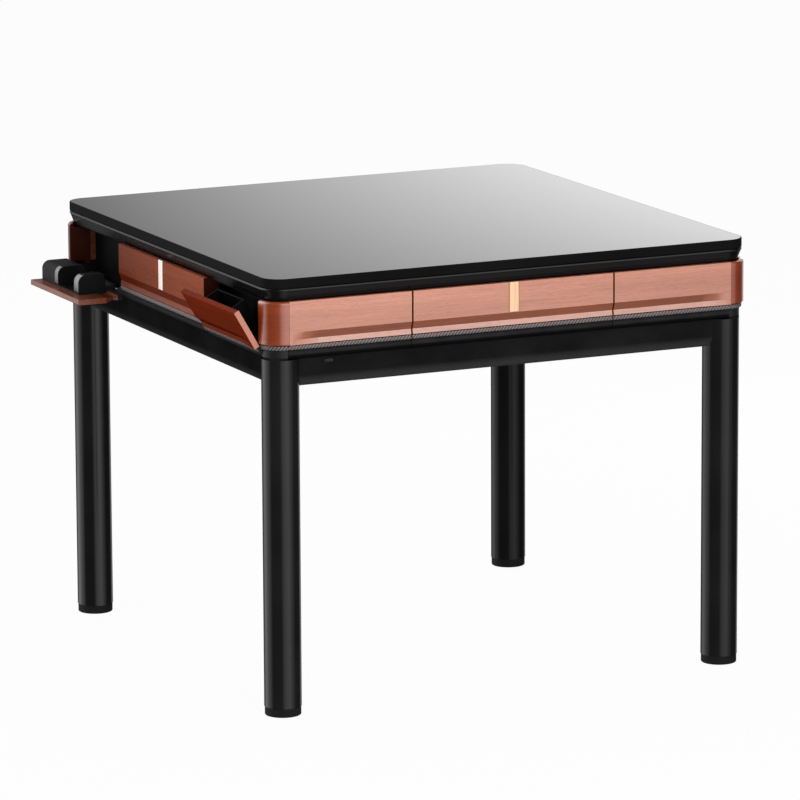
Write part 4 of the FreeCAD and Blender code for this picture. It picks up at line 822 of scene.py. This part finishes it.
# reflections of what is behind the table are at least this bright; it sets in over these stretches of
# the parts along +Y and upward
BEHIND_LEVEL = 0.9
BEHIND_FROM = (0.45, 0.85)
BEHIND_ABOVE = (-0.02, 0.12)


def seen_directly(tree, path):
    """1 for what the camera sees, also through the clear dome."""
    return calculated(tree, "MAXIMUM", path.outputs["Is Camera Ray"], path.outputs["Is Transmission Ray"])


def world_mirrored(tree):
    """Soft boxes and dark gaps of a studio, for what reflections of the world show."""
    x, y, z = axis_parts(tree, tree.nodes.new("ShaderNodeTexCoord").outputs["Generated"])
    turned = calculated(tree, "ARCTAN2", calculated(tree, "MULTIPLY", x, -1.0),
                        calculated(tree, "MULTIPLY", y, -1.0))
    share = calculated(tree, "ADD", calculated(tree, "MULTIPLY", turned, 1.0 / (2.0 * math.pi)), 0.5)
    around = ramp(tree, share, [(degrees / 360.0 + 0.5, grey(level / MIRRORED_MOST))
                                for degrees, level in MIRRORED_ROUND])
    around = mixed(tree, remapped(tree, z, 0.0, 1.0, *OVERHEAD), around, grey(OVERHEAD_LEVEL / MIRRORED_MOST))
    height = ramp(tree, remapped(tree, z, 0.0, 1.0, -1.0, 1.0),
                  [((up + 1.0) / 2.0, grey(level)) for up, level in MIRRORED_UP])
    level = calculated(tree, "MULTIPLY", multiplied(tree, around, height), MIRRORED_MOST)
    behind = calculated(tree, "MULTIPLY", remapped(tree, y, 0.0, BEHIND_LEVEL, *BEHIND_FROM),
                        remapped(tree, z, 0.0, 1.0, *BEHIND_ABOVE))
    return calculated(tree, "MAXIMUM", level, behind)


def light_world():
    world = bpy.data.worlds.new("studio_world")
    world.use_nodes = True
    world.cycles.sampling_method = "NONE"
    tree = world.node_tree
    tree.nodes.clear()
    path = tree.nodes.new("ShaderNodeLightPath")
    mirrored = calculated(tree, "MULTIPLY", path.outputs["Is Glossy Ray"],
                          calculated(tree, "SUBTRACT", world_mirrored(tree), WORLD_SOFT))
    indirect = calculated(tree, "ADD", mirrored, WORLD_SOFT)
    lift = calculated(tree, "MULTIPLY", seen_directly(tree, path),
                      calculated(tree, "SUBTRACT", WORLD_SEEN / WORLD_GREY, indirect))
    background = tree.nodes.new("ShaderNodeBackground")
    background.inputs["Color"].default_value = (*grey(WORLD_GREY), 1.0)
    tree.links.new(calculated(tree, "ADD", indirect, lift), background.inputs["Strength"])
    set_surface(tree, background.outputs[0], "ShaderNodeOutputWorld")
    bpy.context.scene.world = world


def stage_plane(name, size, matrix, material):
    mesh = bpy.data.meshes.new(name)
    half_x, half_y = size[0] / 2.0, size[1] / 2.0
    corners = [(-half_x, -half_y, 0), (half_x, -half_y, 0), (half_x, half_y, 0), (-half_x, half_y, 0)]
    mesh.from_pydata(corners, [], [(0, 1, 2, 3)])
    mesh.materials.append(material)
    plane = bpy.data.objects.new(name, mesh)
    plane.matrix_world = matrix
    bpy.context.scene.collection.objects.link(plane)


# ---- floor ----
FLOOR_SIZE = (40.0, 40.0)
FLOOR_ALBEDO = 0.35         # of the light that the floor throws back on the table
FLOOR_SEEN_ALBEDO = 0.85    # of what the camera sees
FLOOR_SEEN = 0.965          # share of plain white in what the camera sees


def floor_material():
    """Pale floor: white to the camera away from the table, with the table's soft shadow; mirrors
    look through it at the studio's world."""
    material, tree = new_material("studio_floor")
    path = tree.nodes.new("ShaderNodeLightPath")
    seen = seen_directly(tree, path)
    diffuse = tree.nodes.new("ShaderNodeBsdfDiffuse")
    tree.links.new(mixed(tree, seen, grey(FLOOR_ALBEDO), grey(FLOOR_SEEN_ALBEDO)), diffuse.inputs["Color"])
    glow = tree.nodes.new("ShaderNodeEmission")
    clear = tree.nodes.new("ShaderNodeBsdfTransparent")
    bright = blended(tree, calculated(tree, "MULTIPLY", seen, FLOOR_SEEN), diffuse.outputs[0],
                     glow.outputs[0])
    set_surface(tree, blended(tree, path.outputs["Is Glossy Ray"], bright, clear.outputs[0]))
    return material


# ---- backdrop that the cover mirrors; lengths in metres, levels are radiance ----
BACKDROP_SIZE = (2.4, 3.6)
BACKDROP_AHEAD = 2.6
BACKDROP_MIDDLE = 2.1
LEVEL_HEIGHT = 1.3          # height at which the levels below hold
LEVEL_MIDDLE = 0.665
LEVEL_ACROSS = 0.59         # more for each metre to the right
LEVEL_UP = -2.0             # share more for each metre up
LEVEL_LIMITS = (0.15, 1.5)


def backdrop_level(tree):
    """Graded paper: dark at the left and bright at the right, and brighter lower down."""
    x, y, _ = axis_parts(tree, object_coordinates(tree))
    across = calculated(tree, "ADD", calculated(tree, "MULTIPLY", x, LEVEL_ACROSS), LEVEL_MIDDLE)
    height = calculated(tree, "SUBTRACT", y, LEVEL_HEIGHT - BACKDROP_MIDDLE)
    fall = calculated(tree, "ADD", calculated(tree, "MULTIPLY", height, LEVEL_UP), 1.0)
    level = calculated(tree, "MAXIMUM", calculated(tree, "MULTIPLY", across, fall), LEVEL_LIMITS[0])
    return calculated(tree, "MINIMUM", level, LEVEL_LIMITS[1])


def backdrop_material():
    """Card that only reflections see."""
    material, tree = new_material("graded_backdrop")
    glow = tree.nodes.new("ShaderNodeEmission")
    tree.links.new(backdrop_level(tree), glow.inputs["Strength"])
    clear = tree.nodes.new("ShaderNodeBsdfTransparent")
    path = tree.nodes.new("ShaderNodeLightPath")
    set_surface(tree, blended(tree, path.outputs["Is Glossy Ray"], clear.outputs[0], glow.outputs[0]))
    return material


def facing_table(place):
    """Upright plane at place, its X to the right of whoever looks at it from the table."""
    outward = Vector((place.x, place.y, 0.0)).normalized()
    return Matrix.Translation(place) @ Matrix.Rotation(math.atan2(-outward.x, outward.y), 4, "Z") @ \
        Matrix.Rotation(math.radians(90.0), 4, "X")


# ---- lamps: angle, distance, width, bottom, top, radiance; reflections don't show them ----
SOFT_BOXES = {
    "key_front": (10.0, 2.7, 3.6, 0.02, 2.3, 2.3),
    "strip_left": (96.0, 2.4, 1.4, 0.02, 2.2, 1.6),
    "strip_right_rear": (-123.0, 2.6, 0.9, 0.02, 2.2, 1.8),
    "back_high": (-170.0, 3.2, 3.0, 2.3, 3.7, 2.4),
    "right_high": (-80.0, 3.0, 2.4, 2.3, 3.5, 2.0),
}
HIGH_BOX = 1.0              # a box whose bottom is higher than this is turned down to AIM_HEIGHT
AIM_HEIGHT = 0.7


def around_table(degrees, distance, height):
    """Place at an angle from the front (-Y) towards the left (-X)."""
    angle = math.radians(degrees)
    return Vector((-math.sin(angle) * distance, -math.cos(angle) * distance, height))


def soft_box(name, degrees, distance, width, bottom, top, radiance):
    place = around_table(degrees, distance, (bottom + top) / 2.0)
    aim = Vector((0.0, 0.0, place.z if bottom < HIGH_BOX else AIM_HEIGHT))
    light = bpy.data.lights.new(name, "AREA")
    light.shape = "RECTANGLE"
    light.size, light.size_y = width, top - bottom
    light.energy = radiance * math.pi * width * (top - bottom)
    lamp = bpy.data.objects.new(name, light)
    lamp.location = place
    lamp.rotation_euler = (aim - place).to_track_quat("-Z", "Y").to_euler()
    lamp.visible_glossy = False
    bpy.context.scene.collection.objects.link(lamp)


def build_studio():
    light_world()
    stage_plane("studio_floor", FLOOR_SIZE, Matrix.Identity(4), floor_material())
    ahead = Vector((CAMERA_AHEAD.x, CAMERA_AHEAD.y, 0.0)).normalized() * BACKDROP_AHEAD
    stage_plane("graded_backdrop", BACKDROP_SIZE, facing_table(Vector((ahead.x, ahead.y, BACKDROP_MIDDLE))),
                backdrop_material())
    for name, values in SOFT_BOXES.items():
        soft_box(name, *values)


place_camera()
build_studio()
bpy.context.scene.view_settings.view_transform = "Standard"
